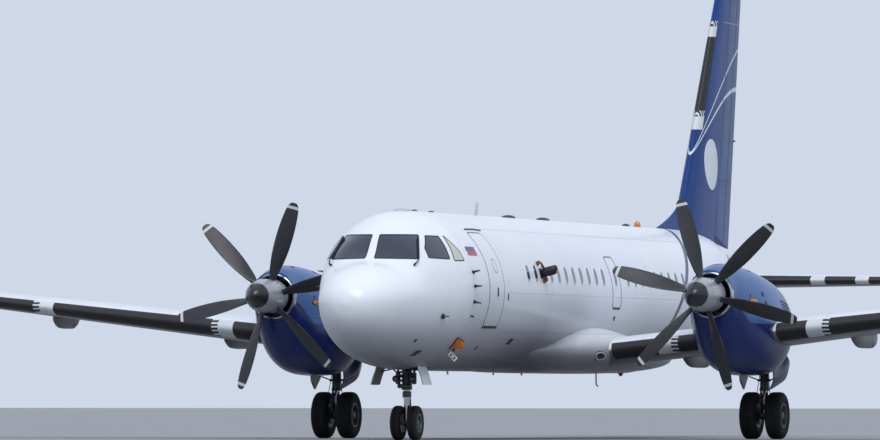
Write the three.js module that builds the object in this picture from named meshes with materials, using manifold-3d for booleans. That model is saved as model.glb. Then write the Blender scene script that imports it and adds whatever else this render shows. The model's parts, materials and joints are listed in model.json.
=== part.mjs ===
// A twin-turboprop regional airliner standing on its landing gear, one mesh for each real piece.
// Millimetres. +X is the port side, +Y is aft, +Z is up, and the ground is at Z = 0.
// Inside the airframe group a station is the distance aft of the nose-wheel axle.
import * as THREE from 'three';
import { mergeVertices } from 'three/addons/utils/BufferGeometryUtils.js';
import Module from 'manifold-3d';

const wasm = await Module();
wasm.setup();

// Driving dimensions
const SPAN = 30000;
const LENGTH = 26880;
const HEIGHT = 9320;
const FUSELAGE_DIAMETER = 2860;
const FUSELAGE_TOP = 4106;
const FUSELAGE_BOTTOM = FUSELAGE_TOP - FUSELAGE_DIAMETER;
const NOSE_OVERHANG = 3680;
const WHEEL_BASE = 9130;
const WHEEL_TRACK = 8400;
const TAILPLANE_SPAN = 11100;
const PROPELLER_DIAMETER = 3600;
const PROPELLER_HEIGHT = 2650;
const NACELLE_X = WHEEL_TRACK / 2;
const DIHEDRAL = THREE.MathUtils.degToRad(6.25);
const WING_ROOT_HEIGHT = 1454;

// Clearances: between fixed pieces that touch, and round a moving piece
const SEAT = 0.3;
const RUNNING = 8;

// Colours, as roughness and metalness close to the photograph
const finish = (color, roughness, metalness = 0) => (
  new THREE.MeshStandardMaterial({ color, roughness, metalness })
);
const WHITE = finish(0xe8ebef, 0.35);
const BLUE = finish(0x1f4a96, 0.35);
const BLACK = finish(0x17191c, 0.5);
const GREY = finish(0x9a9b9c, 0.45);
const STEEL = finish(0xa7abb0, 0.35, 0.9);
const RUBBER = finish(0x1b1b1c, 0.85);

const airframe = new THREE.Group();
airframe.position.y = NOSE_OVERHANG - LENGTH / 2;

function add(name, shape, material, parent = airframe) {
  const geometry = shape.isBufferGeometry ? shape : geometryOf(shape);
  const mesh = new THREE.Mesh(geometry, material);
  mesh.name = name;
  parent.add(mesh);
  return mesh;
}

// Turns every face outwards, whichever way round its points were listed.
function outward(geometry) {
  const place = geometry.attributes.position;
  const corner = [new THREE.Vector3(), new THREE.Vector3(), new THREE.Vector3()];
  const index = geometry.index.array;
  let volume = 0;
  for (let face = 0; face < index.length; face += 3) {
    corner.forEach((point, at) => point.fromBufferAttribute(place, index[face + at]));
    volume += corner[0].dot(corner[1].clone().cross(corner[2]));
  }
  if (volume < 0) {
    for (let face = 0; face < index.length; face += 3) {
      [index[face], index[face + 1]] = [index[face + 1], index[face]];
    }
  }
  return geometry;
}

// Joins the shared corners, as a closed solid needs.
function welded(geometry) {
  const plain = geometry.clone();
  plain.deleteAttribute('normal');
  plain.deleteAttribute('uv');
  return mergeVertices(plain, 1e-3);
}

function solid(shape) {
  if (!shape.isBufferGeometry) return shape;
  const plain = outward(welded(shape));
  return new wasm.Manifold(new wasm.Mesh({
    numProp: 3,
    vertProperties: new Float32Array(plain.attributes.position.array),
    triVerts: new Uint32Array(plain.index.array),
  }));
}

function geometryOf(manifold) {
  const mesh = manifold.getMesh();
  const geometry = new THREE.BufferGeometry();
  geometry.setAttribute('position', new THREE.BufferAttribute(new Float32Array(mesh.vertProperties), 3));
  geometry.setIndex(new THREE.BufferAttribute(new Uint32Array(mesh.triVerts), 1));
  return geometry;
}

const join = (...shapes) => shapes.map(solid).reduce((whole, piece) => whole.add(piece));
const cut = (shape, ...tools) => tools.map(solid).reduce((whole, tool) => whole.subtract(tool), solid(shape));

function mirrored(shape) {
  const geometry = welded(shape.isBufferGeometry ? shape : geometryOf(shape));
  geometry.scale(-1, 1, 1);
  return outward(geometry);
}

// A closed solid through rings of equally many points, each end filled flat.
// Diagonals lean the other way from the second quarter to the third, so a round body mirrors itself.
function loft(rings) {
  const count = rings[0].length;
  const faces = [];
  for (let ring = 0; ring < rings.length - 1; ring++) {
    for (let corner = 0; corner < count; corner++) {
      const near = ring * count + corner;
      const next = ring * count + (corner + 1) % count;
      if (corner >= count / 4 && corner < count * 3 / 4) {
        faces.push(near, next, near + count, next, next + count, near + count);
      } else {
        faces.push(near, next, next + count, near, next + count, near + count);
      }
    }
  }
  for (const [ring, flip] of [[0, true], [rings.length - 1, false]]) {
    for (const [a, b, c] of endFaces(rings[ring])) {
      const start = ring * count;
      faces.push(start + a, start + (flip ? c : b), start + (flip ? b : c));
    }
  }
  const geometry = new THREE.BufferGeometry().setFromPoints(rings.flat());
  geometry.setIndex(faces);
  return outward(geometry);
}

// The triangles that fill a flat ring, seen along the axis that its plane faces most.
function endFaces(ring) {
  const normal = new THREE.Vector3();
  ring.forEach((point, at) => {
    const next = ring[(at + 1) % ring.length];
    normal.add(point.clone().sub(ring[0]).cross(next.clone().sub(ring[0])));
  });
  const [u, v] = ['x', 'y', 'z'].sort((a, b) => Math.abs(normal[a]) - Math.abs(normal[b]));
  const flat = ring.map((point) => new THREE.Vector2(point[u], point[v]));
  const turned = THREE.ShapeUtils.isClockWise(flat);
  const triangles = THREE.ShapeUtils.triangulateShape(flat, []);
  return triangles.map(([a, b, c]) => {
    const clockwise = THREE.ShapeUtils.isClockWise([flat[a], flat[b], flat[c]]);
    return clockwise === turned ? [a, b, c] : [a, c, b];
  });
}

function box(low, high) {
  const geometry = new THREE.BoxGeometry(high[0] - low[0], high[1] - low[1], high[2] - low[2]);
  return geometry.translate((low[0] + high[0]) / 2, (low[1] + high[1]) / 2, (low[2] + high[2]) / 2);
}

// A round bar between two points.
function bar(from, to, radius, sides = 16, endRadius = radius) {
  const along = to.clone().sub(from);
  const geometry = new THREE.CylinderGeometry(endRadius, radius, along.length(), sides);
  const turn = new THREE.Quaternion().setFromUnitVectors(new THREE.Vector3(0, 1, 0), along.clone().normalize());
  return geometry.applyQuaternion(turn).translate(...from.clone().add(to).multiplyScalar(0.5).toArray());
}

// A bore whose flats just clear the corners of a shaft with as many sides.
const PIN_SIDES = 8;
const boreFor = (radius, sides) => (radius + 0.05) / Math.cos(Math.PI / sides);

const vec = (x, y, z) => new THREE.Vector3(x, y, z);

// A body's section: two half ellipses on one width, squarer as the exponent grows.
function bodyRing({ y, top, bottom, half, widest, square = 2 }, { x = 0, grow = 0, sides = 28 } = {}) {
  const ring = [];
  for (let side = 0; side < sides; side++) {
    const angle = side / sides * 2 * Math.PI;
    const reach = (turn) => Math.sign(turn) * Math.abs(turn) ** (2 / square);
    const across = reach(Math.cos(angle)) * (half + grow);
    const height = Math.sin(angle) > 0 ? top + grow - widest : widest - bottom + grow;
    ring.push(vec(x + across, y, widest + reach(Math.sin(angle)) * height));
  }
  return ring;
}

// Blends a table of sections by a Catmull-Rom curve, with steps sections to each row.
function blend(rows, steps) {
  const keys = Object.keys(rows[0]).filter((key) => typeof rows[0][key] === 'number');
  const sections = [];
  for (let row = 0; row < rows.length - 1; row++) {
    const last = rows.length - 1;
    const four = [row - 1, row, row + 1, row + 2].map((at) => rows[THREE.MathUtils.clamp(at, 0, last)]);
    for (let step = 0; step < steps; step++) {
      const t = step / steps;
      const section = {};
      for (const key of keys) {
        const [a, b, c, d] = four.map((one) => one[key]);
        const slopeIn = (c - a) / 2;
        const slopeOut = (d - b) / 2;
        section[key] = b + slopeIn * t + (3 * (c - b) - 2 * slopeIn - slopeOut) * t ** 2
          + (2 * (b - c) + slopeIn + slopeOut) * t ** 3;
      }
      sections.push(section);
    }
  }
  sections.push(rows.at(-1));
  return sections;
}

// Fuselage sections, nose to tail: station, crown, keel, half width and the height of the widest point
const FULL = { top: FUSELAGE_TOP, bottom: FUSELAGE_BOTTOM, half: FUSELAGE_DIAMETER / 2, widest: 2676 };
const NOSE_ROWS = [
  { y: -NOSE_OVERHANG, top: 2450, bottom: 2350, half: 60, widest: 2400 },
  { y: -3610, top: 2640, bottom: 2110, half: 270, widest: 2405 },
  { y: -3420, top: 2810, bottom: 1880, half: 470, widest: 2420 },
  { y: -3050, top: 2985, bottom: 1650, half: 680, widest: 2450 },
];
const COCKPIT_ROWS = [
  { y: -2700, top: 3095, bottom: 1520, half: 800, widest: 2480 },
  { y: -2250, top: 3225, bottom: 1420, half: 935, widest: 2520 },
  { y: -1860, top: 3640, bottom: 1360, half: 1055, widest: 2560 },
  { y: -1400, top: 3900, bottom: 1310, half: 1190, widest: 2600 },
  { y: -800, top: 4060, bottom: 1270, half: 1330, widest: 2645 },
  { y: -100, ...FULL, bottom: 1250, half: 1415 },
  { y: 1600, ...FULL },
];
const TAIL_ROWS = [
  { y: 14000, ...FULL },
  { y: 15400, top: 4106, bottom: 1370, half: 1410, widest: 2740 },
  { y: 17200, top: 4106, bottom: 1790, half: 1250, widest: 2910 },
  { y: 18300, top: 4092, bottom: 2060, half: 1040, widest: 3010 },
  { y: 19300, top: 4045, bottom: 2330, half: 790, widest: 3110 },
  { y: 20300, top: 3965, bottom: 2590, half: 500, widest: 3200 },
  { y: 21200, top: 3845, bottom: 2820, half: 250, widest: 3300 },
  { y: 22080, top: 3670, bottom: 3070, half: 80, widest: 3330 },
];
const CABIN_REAR = 8000;
const TAIL_JOINT = 17200;

const allSections = [
  ...blend([...NOSE_ROWS, ...COCKPIT_ROWS], 2),
  { y: CABIN_REAR, ...FULL },
  ...blend(TAIL_ROWS, 2),
];

function fuselage(from, to, grow = 0) {
  const rings = allSections.filter(({ y }) => y >= from && y <= to).map((section, at, chosen) => {
    const inset = at === 0 ? SEAT / 2 : at === chosen.length - 1 ? -SEAT / 2 : 0;
    return bodyRing({ ...section, y: section.y + inset - Math.sign(inset) * grow }, { grow });
  });
  return loft(rings);
}
const NOSE_TIP = -NOSE_OVERHANG;
const TAIL_END = TAIL_ROWS.at(-1).y;
const wholeFuselage = solid(fuselage(NOSE_TIP, TAIL_END, SEAT));

add('radome', fuselage(NOSE_TIP, NOSE_ROWS.at(-1).y), WHITE);

// Nose-wheel bay, open below
const BAY = { half: 400, front: -620, rear: 200, roof: 1640, floor: 800 };
const bay = box([-BAY.half, BAY.front, BAY.floor], [BAY.half, BAY.rear, BAY.roof]);
const frontBody = fuselage(NOSE_ROWS.at(-1).y, COCKPIT_ROWS.at(-1).y);

// Entry door set into the port side, flush, with a seam round it
const DOOR = { front: 385, rear: 1270, sill: 2036, head: 3730, back: 900, seam: 4, corner: 180 };
function doorPrism(door, shrink) {
  const shape = new THREE.Shape();
  const [low, high] = [door.front + shrink, door.rear - shrink];
  const [foot, head] = [door.sill + shrink, door.head - shrink];
  const round = door.corner - shrink;
  shape.absarc(high - round, head - round, round, 0, Math.PI / 2);
  shape.absarc(low + round, head - round, round, Math.PI / 2, Math.PI);
  shape.absarc(low + round, foot + round, round, Math.PI, 1.5 * Math.PI);
  shape.absarc(high - round, foot + round, round, 1.5 * Math.PI, 2 * Math.PI);
  const depth = FUSELAGE_DIAMETER / 2 - door.back + 200;
  const geometry = new THREE.ExtrudeGeometry(shape, { depth, bevelEnabled: false, curveSegments: 4 });
  geometry.rotateX(Math.PI / 2).rotateZ(Math.PI / 2);
  return geometry.translate(door.back + (shrink ? SEAT : 0), 0, 0);
}

// Jacking pads with flat undersides: one under the front cabin, two under the belly fairing
const JACK = {
  radius: 60, root: 1320, noseStation: 2000, noseFoot: 1200, wingStation: 8000, wingX: 700, wingFoot: 1205,
};
const jackPad = (x, y, foot) => bar(vec(x, y, foot), vec(x, y, JACK.root), JACK.radius, 12);

add('forward_fuselage', cut(frontBody, bay, doorPrism(DOOR, 0)), WHITE);
add('entry_door', solid(frontBody).intersect(solid(doorPrism(DOOR, DOOR.seam))), WHITE);

const cabinFront = fuselage(COCKPIT_ROWS.at(-1).y, CABIN_REAR);
add('cabin_front', join(cabinFront, jackPad(0, JACK.noseStation, JACK.noseFoot)), WHITE);

add('cabin_rear', fuselage(CABIN_REAR, TAIL_ROWS[0].y), WHITE);
add('rear_fuselage', fuselage(TAIL_ROWS[0].y, TAIL_JOINT), WHITE);
add('tail_cone', fuselage(TAIL_JOINT, TAIL_END), WHITE);

// Belly and wing-root fairing
const FAIRING_ROWS = [
  { y: 5300, top: 1850, bottom: 1330, half: 1130, widest: 1640, square: 2.2 },
  { y: 6100, top: 2020, bottom: 1240, half: 1560, widest: 1640, square: 2.3 },
  { y: 7000, top: 2150, bottom: 1228, half: 1820, widest: 1640, square: 2.4 },
  { y: 7900, top: 2190, bottom: 1225, half: 1880, widest: 1640, square: 2.4 },
  { y: 9000, top: 2100, bottom: 1225, half: 1900, widest: 1600, square: 2.4 },
  { y: 10000, top: 1960, bottom: 1225, half: 1880, widest: 1570, square: 2.4 },
  { y: 11000, top: 1860, bottom: 1228, half: 1820, widest: 1540, square: 2.4 },
  { y: 12000, top: 1760, bottom: 1250, half: 1600, widest: 1520, square: 2.3 },
  { y: 13000, top: 1660, bottom: 1300, half: 1150, widest: 1500, square: 2.2 },
];
const fairingSections = blend(FAIRING_ROWS, 1);
const fairingSolid = (grow) => (
  solid(loft(fairingSections.map((section) => bodyRing(section, { grow, sides: 20 }))))
);
const pads = [-JACK.wingX, JACK.wingX].map((x) => jackPad(x, JACK.wingStation, JACK.wingFoot));
add('belly_fairing', cut(join(fairingSolid(0), ...pads), wholeFuselage), WHITE);

// Nacelles: the cowling in front of the firewall and the gear nacelle behind it
const LIP = 5230;
const FIREWALL = 6800;
const NACELLE_ROWS = [
  { y: LIP, top: 3110, bottom: 2230, half: 425, widest: 2680, square: 2 },
  { y: 5500, top: 3190, bottom: 1800, half: 465, widest: 2620, square: 2 },
  { y: 6000, top: 3235, bottom: 1440, half: 590, widest: 2450, square: 2.1 },
  { y: FIREWALL, top: 3180, bottom: 1235, half: 740, widest: 2250, square: 2.3 },
  { y: 7800, top: 3000, bottom: 1180, half: 775, widest: 2030, square: 2.8 },
  { y: 8500, top: 2830, bottom: 1225, half: 700, widest: 2090, square: 2.4 },
  { y: 9200, top: 2610, bottom: 1380, half: 530, widest: 2110, square: 2.1 },
  { y: 10000, top: 2330, bottom: 1620, half: 270, widest: 2000, square: 2 },
  { y: 10600, top: 2110, bottom: 1800, half: 90, widest: 1930, square: 2 },
];
const nacelleSections = blend(NACELLE_ROWS, 2);
function nacelle(from, to, grow = 0) {
  const rings = nacelleSections.filter(({ y }) => y >= from && y <= to).map((section, at, chosen) => {
    const inset = at === 0 ? SEAT / 2 : at === chosen.length - 1 ? -SEAT / 2 : 0;
    const y = section.y + inset - Math.sign(inset) * grow;
    return bodyRing({ ...section, y }, { x: NACELLE_X, grow, sides: 20 });
  });
  return loft(rings);
}
const hubLine = (y) => vec(NACELLE_X, y, PROPELLER_HEIGHT);
const INTAKE = { outer: 375, core: 285, depth: 420, bore: 60 };
const intake = cut(
  bar(hubLine(LIP - 50), hubLine(LIP + INTAKE.depth), INTAKE.outer, 24),
  bar(hubLine(LIP - 60), hubLine(LIP + INTAKE.depth + 10), INTAKE.core, 24),
);
const SHAFT_BORE = { radius: boreFor(INTAKE.bore, 20), depth: 300 };
const shaftBore = bar(hubLine(LIP - 50), hubLine(LIP + SHAFT_BORE.depth), SHAFT_BORE.radius, 20);
const COWL_WALL = 60;
const ENGINE = { front: 6060, radius: 310, height: 2520 };
const cowlRows = nacelleSections.filter(({ y }) => y >= ENGINE.front - 80 && y <= FIREWALL);
const cowlCavity = loft(cowlRows.map((section, at) => bodyRing(
  { ...section, y: section.y + (at === cowlRows.length - 1 ? 100 : 0) },
  { x: NACELLE_X, grow: -COWL_WALL, sides: 12 },
)));
const cowling = cut(nacelle(LIP, FIREWALL), intake, shaftBore, cowlCavity);
const engineEnd = (y) => vec(NACELLE_X, y, ENGINE.height);
const engine = bar(engineEnd(ENGINE.front), engineEnd(FIREWALL - SEAT), ENGINE.radius, 20);

// Main-gear well in each gear nacelle, with the leg up inside it
const WELL = { half: 330, front: 8540, rear: 9480, roof: 1640, floor: 900 };
const well = box(
  [NACELLE_X - WELL.half, WELL.front, WELL.floor],
  [NACELLE_X + WELL.half, WELL.rear, WELL.roof],
);
const gearNacelle = cut(nacelle(FIREWALL, NACELLE_ROWS.at(-1).y), well);
const wholeNacelle = solid(nacelle(LIP, NACELLE_ROWS.at(-1).y, SEAT));

// Lifting surfaces: sections in the surface's own frame, where s runs along the span
const foilHalf = (at, thickness) => 5 * thickness
  * (0.2969 * Math.sqrt(at) - 0.126 * at - 0.3516 * at ** 2 + 0.2843 * at ** 3 - 0.1036 * at ** 4);
const EDGE_HALF = 4;
const mean = (section, at) => (section.camber * 4 * at * (1 - at) - section.twist * at) * section.chord;
const skin = (section, at, side) => mean(section, at)
  + side * (foilHalf(at, section.thickness) * section.chord + EDGE_HALF * at);
const lerp = THREE.MathUtils.lerp;

// A section between two rows. The hinge line stays straight between them, along the span and in height.
function sectionAt(rows, s) {
  const after = Math.max(1, rows.findIndex((row) => row.s >= s));
  const [a, b] = [rows[after - 1], rows[after]];
  const share = (s - a.s) / (b.s - a.s);
  const section = Object.fromEntries(Object.keys(a).map((key) => [key, lerp(a[key], b[key], share)]));
  for (const key of ['hinge', 'twist']) {
    section[key] = lerp(a[key] * a.chord, b[key] * b.chord, share) / section.chord;
  }
  return section;
}

// Chordwise places from the leading edge back, closer together in front
const CHORD_STEPS = 6;
const chordwise = Array.from(
  { length: CHORD_STEPS + 1 },
  (_, step) => 1 - Math.cos(step / CHORD_STEPS * Math.PI / 2),
);

function foilOutline(section) {
  const upper = chordwise.slice().reverse().map((at) => [section.y + at * section.chord, skin(section, at, 1)]);
  const lower = chordwise.slice(1).map((at) => [section.y + at * section.chord, skin(section, at, -1)]);
  return [...upper, ...lower];
}
const hingeOf = (section) => {
  const { hinge, chord, stretch = 1 } = section;
  const radius = foilHalf(hinge, section.thickness) * chord + EDGE_HALF * hinge;
  return { y: section.y + hinge * chord, h: mean(section, hinge), radius, stretch };
};
const ARC_STEPS = 6;
// Where the hinge line leans against the sections, stretch makes the round nose true about that line.
function hingeArc({ y, h, stretch }, radius) {
  return Array.from({ length: ARC_STEPS + 1 }, (_, step) => {
    const angle = Math.PI / 2 + step / ARC_STEPS * Math.PI;
    return [y + radius * stretch * Math.cos(angle), h + radius * Math.sin(angle)];
  });
}
// The moving part behind the hinge, with a round nose
function tailOutline(section) {
  const places = [1, 0.75, 0.5, 0.25].map((share) => lerp(section.hinge, 1, share));
  const upper = places.map((at) => [section.y + at * section.chord, skin(section, at, 1)]);
  const lower = places.reverse().map((at) => [section.y + at * section.chord, skin(section, at, -1)]);
  const hinge = hingeOf(section);
  return [...upper, ...hingeArc(hinge, hinge.radius), ...lower];
}
// The room that the moving part needs in the fixed part; the flats of its arc clear the nose's corners.
function coveOutline(section) {
  const hinge = hingeOf(section);
  const far = section.y + section.chord + 300;
  const tall = hinge.radius + 400;
  const arc = hingeArc(hinge, (hinge.radius + RUNNING) / Math.cos(Math.PI / 2 / ARC_STEPS));
  const [above, below] = [hinge.h + tall, hinge.h - tall];
  return [[hinge.y, above], ...arc, [hinge.y, below], [far, below], [far, above]];
}
const surfaceLoft = (place, rows, outline) => loft(rows.map((section) => (
  outline(section).map(([y, h]) => place(section.s, y, h))
)));
const prism = (place, outline, from, to) => (
  loft([from, to].map((s) => outline.map(([y, h]) => place(s, y, h))))
);
const span = (rows, from, to) => [from, ...rows.map(({ s }) => s).filter((s) => s > from && s < to), to]
  .map((s) => sectionAt(rows, s));

// A flush hinge: a lug with its pin on the fixed part, and a slot with pin holes in the moving part
const LUG = { thick: 24, reach: 26, pin: 12, pinReach: 34 };
function hingeAt(place, rows, s, slack = RUNNING) {
  const hinge = hingeOf(sectionAt(rows, s));
  const axisPoint = (at) => {
    const here = hingeOf(sectionAt(rows, at));
    return place(at, here.y, here.h);
  };
  const half = LUG.thick / 2;
  const back = hinge.y + LUG.reach;
  const front = hinge.y - (hinge.radius + RUNNING) * hinge.stretch - 60;
  const tall = Math.min(LUG.reach, hinge.radius * 0.6);
  const lugOutline = [[front, hinge.h + tall], [front, hinge.h - tall], [hinge.y + 8, hinge.h - tall],
    [back, hinge.h - 10], [back, hinge.h + 10], [hinge.y + 8, hinge.h + tall]];
  const wide = half + slack;
  const deep = hinge.radius + 200;
  const slotOutline = [[front, hinge.h + deep], [front, hinge.h - deep],
    [back + RUNNING, hinge.h - deep], [back + RUNNING, hinge.h + deep]];
  const pinAt = (reach, radius) => bar(axisPoint(s - reach), axisPoint(s + reach), radius, PIN_SIDES);
  const pinHalf = half + LUG.pinReach;
  return {
    lug: join(prism(place, lugOutline, s - half, s + half), pinAt(pinHalf, LUG.pin)),
    slot: join(prism(place, slotOutline, s - wide, s + wide), pinAt(pinHalf + 6, boreFor(LUG.pin, PIN_SIDES))),
  };
}

// A flap hangs from arms that reach down to pins in canoe fairings under the wing;
// the rear end of each canoe is fixed to the flap and swings with it.
const CANOE = {
  drop: 330, axisBack: 120, front: 0.38, rear: 0.99, half: 85, deep: 0.18, end: 20,
  wall: 14, pin: 12, boss: 48, swing: 105,
};
// Rings of the fixed canoe and of its swinging tail: how far along, half width, and how far down
const CANOE_RINGS = [[0, 12, 0.45], [0.12, 55, 0.85], [0.4, CANOE.half, 1.15], [1, CANOE.half, 1 + CANOE.deep]];
const CANOE_TAIL_RINGS = [[0, CANOE.half, 0], [0.35, 78, 0.05], [0.7, 60, 0.3], [1, 14, 0.9]];
const ARM_REACH = [[480, -20], [120, 10]];
const flapAxis = (section) => {
  const hinge = hingeOf(section);
  return { y: hinge.y + CANOE.axisBack, h: hinge.h - CANOE.drop };
};
// A canoe's section: flat on top, with a narrower bottom
const canoeOutline = (half, roof, base) => [
  [-half, roof], [half, roof], [half, lerp(roof, base, 0.7)],
  [half * 0.55, base], [-half * 0.55, base], [-half, lerp(roof, base, 0.7)],
];
function flapHingeAt(place, rows, s) {
  const section = sectionAt(rows, s);
  const hinge = hingeOf(section);
  const axis = flapAxis(section);
  const axisPoint = (at) => {
    const here = flapAxis(sectionAt(rows, at));
    return place(at, here.y, here.h);
  };
  const ringAt = (y, half, roof, base) => (
    canoeOutline(half, roof, base).map(([across, h]) => place(s + across, y, h))
  );
  const front = section.y + CANOE.front * section.chord;
  const rear = axis.y + CANOE.boss + CANOE.end;
  const top = hinge.h;
  const canoe = loft(CANOE_RINGS.map(([share, half, low]) => (
    ringAt(lerp(front, rear, share), half, top, lerp(top, axis.h, low))
  )));
  const noseFront = hinge.y - hinge.radius - RUNNING;
  const noseLow = hinge.h - hinge.radius - RUNNING;
  const beyond = rear + 50;
  const noseRoom = [[noseFront, top + 300], [noseFront, noseLow], [beyond, noseLow], [beyond, top + 300]];
  const slotFront = axis.y - CANOE.boss - 12;
  const slotHalf = CANOE.wall + RUNNING;
  const [slotTop, slotLow] = [top + 100, axis.h - 300];
  const slotOutline = [[slotFront, slotTop], [slotFront, slotLow], [beyond, slotLow], [beyond, slotTop]];
  const round = Array.from({ length: 9 }, (_, step) => {
    const angle = Math.PI * (0.75 + step / 8);
    return [axis.y + CANOE.boss * Math.cos(angle), axis.h + CANOE.boss * Math.sin(angle)];
  });
  const armOutline = [...round, ...ARM_REACH.map(([back, up]) => [axis.y + back, top + up])];
  const tailStart = rear + RUNNING;
  const tailEnd = section.y + CANOE.rear * section.chord;
  const tailTop = axis.h - CANOE.deep * CANOE.drop;
  const tailFoot = skin(section, CANOE.rear, -1) - EDGE_HALF;
  const tail = cut(
    loft(CANOE_TAIL_RINGS.map(([share, half, low]) => {
      const y = lerp(tailStart, tailEnd, share);
      return ringAt(y, half, mean(section, (y - section.y) / section.chord), lerp(tailTop, tailFoot, low));
    })),
    bar(axisPoint(s - 2 * CANOE.half), axisPoint(s + 2 * CANOE.half), CANOE.swing, 16),
  );
  const arms = cut(
    prism(place, armOutline, s - CANOE.wall, s + CANOE.wall),
    bar(axisPoint(s - 60), axisPoint(s + 60), boreFor(CANOE.pin, PIN_SIDES), PIN_SIDES),
  );
  const room = prism(place, slotOutline, s - slotHalf, s + slotHalf);
  return {
    room,
    canoe: cut(canoe, room, prism(place, noseRoom, s - 200, s + 200)),
    pin: bar(axisPoint(s - CANOE.half + 10), axisPoint(s + CANOE.half - 10), CANOE.pin, PIN_SIDES),
    arm: join(arms, tail),
  };
}

// Wing: sections along the port wing, as station of the leading edge, chord, thickness and hinge place
const along = (x) => x / Math.cos(DIHEDRAL);
const wingPlace = (s, y, h) => {
  const [sin, cos] = [Math.sin(DIHEDRAL), Math.cos(DIHEDRAL)];
  return vec(s * cos - h * sin, y, WING_ROOT_HEIGHT + s * sin + h * cos);
};
const WING_LEADING = 6910;
const WING_CHORD = 3420;
const WING_SHARED = { camber: 0.01, hinge: 0.72 };
const WING_ROWS = [
  { s: along(1000), y: WING_LEADING, chord: WING_CHORD, thickness: 0.15, twist: 0.03, ...WING_SHARED },
  { s: along(4900), y: WING_LEADING, chord: WING_CHORD, thickness: 0.148, twist: 0.03, ...WING_SHARED },
  { s: along(14700), y: 7405, chord: 1430, thickness: 0.123, twist: 0.01, ...WING_SHARED },
  { s: along(SPAN / 2) - 12, y: 7560, chord: 1130, thickness: 0.06, twist: 0.01, ...WING_SHARED },
];
const FLAP_INNER = { from: along(2010), to: along(3390), supports: [along(2850)], end: 20 };
const FLAP_OUTER = { from: along(5080), to: along(9650), supports: [along(6100), along(9500)], end: 40 };
const AILERON = { from: along(9800), to: along(14300), hinges: [10300, 12100, 13800].map(along), end: 20 };
const WING_SPLIT = along(NACELLE_X);

const cove = (place, rows, part) => (
  surfaceLoft(place, span(rows, part.from - part.end, part.to + part.end), coveOutline)
);
const movingPart = (place, rows, part) => surfaceLoft(place, span(rows, part.from, part.to), tailOutline);
const flaps = [FLAP_INNER, FLAP_OUTER].map((part) => {
  const supports = part.supports.map((s) => flapHingeAt(wingPlace, WING_ROWS, s));
  const body = join(movingPart(wingPlace, WING_ROWS, part), ...supports.map(({ arm }) => arm));
  return { ...part, supports, body };
});
const aileronHinges = AILERON.hinges.map((s) => hingeAt(wingPlace, WING_ROWS, s));
const aileron = cut(movingPart(wingPlace, WING_ROWS, AILERON), ...aileronHinges.map(({ slot }) => slot));

function wingPanel(from, to, flap, extraCoves, lugs) {
  const whole = surfaceLoft(wingPlace, span(WING_ROWS, from, to), foilOutline);
  const bare = cut(whole, cove(wingPlace, WING_ROWS, flap), ...extraCoves);
  const fitted = cut(bare, ...flap.supports.map(({ room }) => room));
  return join(fitted, ...flap.supports.flatMap(({ canoe, pin }) => [canoe, pin]), ...lugs);
}
const innerWing = cut(
  wingPanel(WING_ROWS[0].s, WING_SPLIT, flaps[0], [], []), fairingSolid(SEAT), wholeFuselage, wholeNacelle,
);
const aileronCove = cove(wingPlace, WING_ROWS, AILERON);
const aileronLugs = aileronHinges.map(({ lug }) => lug);
const outerWing = cut(
  wingPanel(WING_SPLIT, WING_ROWS.at(-1).s, flaps[1], [aileronCove], aileronLugs), wholeNacelle,
);

// Propeller: hub and six blades, with the spinner over the hub
const BLADES = 6;
const PROPELLER_PLANE = 4860;
const BLADE_ROWS = [
  { r: 120, chord: 120, thick: 110, pitch: 62 },
  { r: 330, chord: 130, thick: 95, pitch: 60 },
  { r: 520, chord: 250, thick: 50, pitch: 54 },
  { r: 900, chord: 330, thick: 28, pitch: 42 },
  { r: 1350, chord: 310, thick: 18, pitch: 33 },
  { r: 1700, chord: 220, thick: 12, pitch: 29 },
  { r: PROPELLER_DIAMETER / 2, chord: 90, thick: 8, pitch: 28 },
];
const BLADE_SIDES = 6;
function blade(angle) {
  const turn = new THREE.Matrix4().makeRotationY(angle);
  const rings = BLADE_ROWS.map(({ r, chord, thick, pitch }) => Array.from({ length: BLADE_SIDES }, (_, side) => {
    const around = side / BLADE_SIDES * 2 * Math.PI;
    const [u, v] = [Math.cos(around) * chord / 2, Math.sin(around) * thick / 2];
    const [sin, cos] = [Math.sin, Math.cos].map((wave) => wave(THREE.MathUtils.degToRad(pitch)));
    return vec(u * cos - v * sin, u * sin + v * cos, r).applyMatrix4(turn);
  }));
  return loft(rings).translate(NACELLE_X, PROPELLER_PLANE, PROPELLER_HEIGHT);
}
const HUB = { radius: 315, front: 4700, rear: 5150 };
const SPINNER = { tip: 4010, rear: HUB.front - SEAT, steps: 6 };
const propeller = (firstBlade) => join(
  bar(hubLine(HUB.front), hubLine(HUB.rear), HUB.radius, 20),
  bar(hubLine(HUB.rear - 10), hubLine(LIP + SHAFT_BORE.depth - 20), INTAKE.bore, 20),
  ...Array.from({ length: BLADES }, (_, at) => blade(THREE.MathUtils.degToRad(firstBlade + at / BLADES * 360))),
);
const spinnerProfile = Array.from({ length: SPINNER.steps + 1 }, (_, step) => {
  const share = step / SPINNER.steps;
  const radius = HUB.radius * Math.sin(share * Math.PI / 2) ** 0.75;
  return new THREE.Vector2(radius, lerp(SPINNER.tip, SPINNER.rear, share ** 1.3));
});
const spinner = new THREE.LatheGeometry([...spinnerProfile, new THREE.Vector2(0, SPINNER.rear)], 20)
  .translate(NACELLE_X, 0, PROPELLER_HEIGHT);

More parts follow.
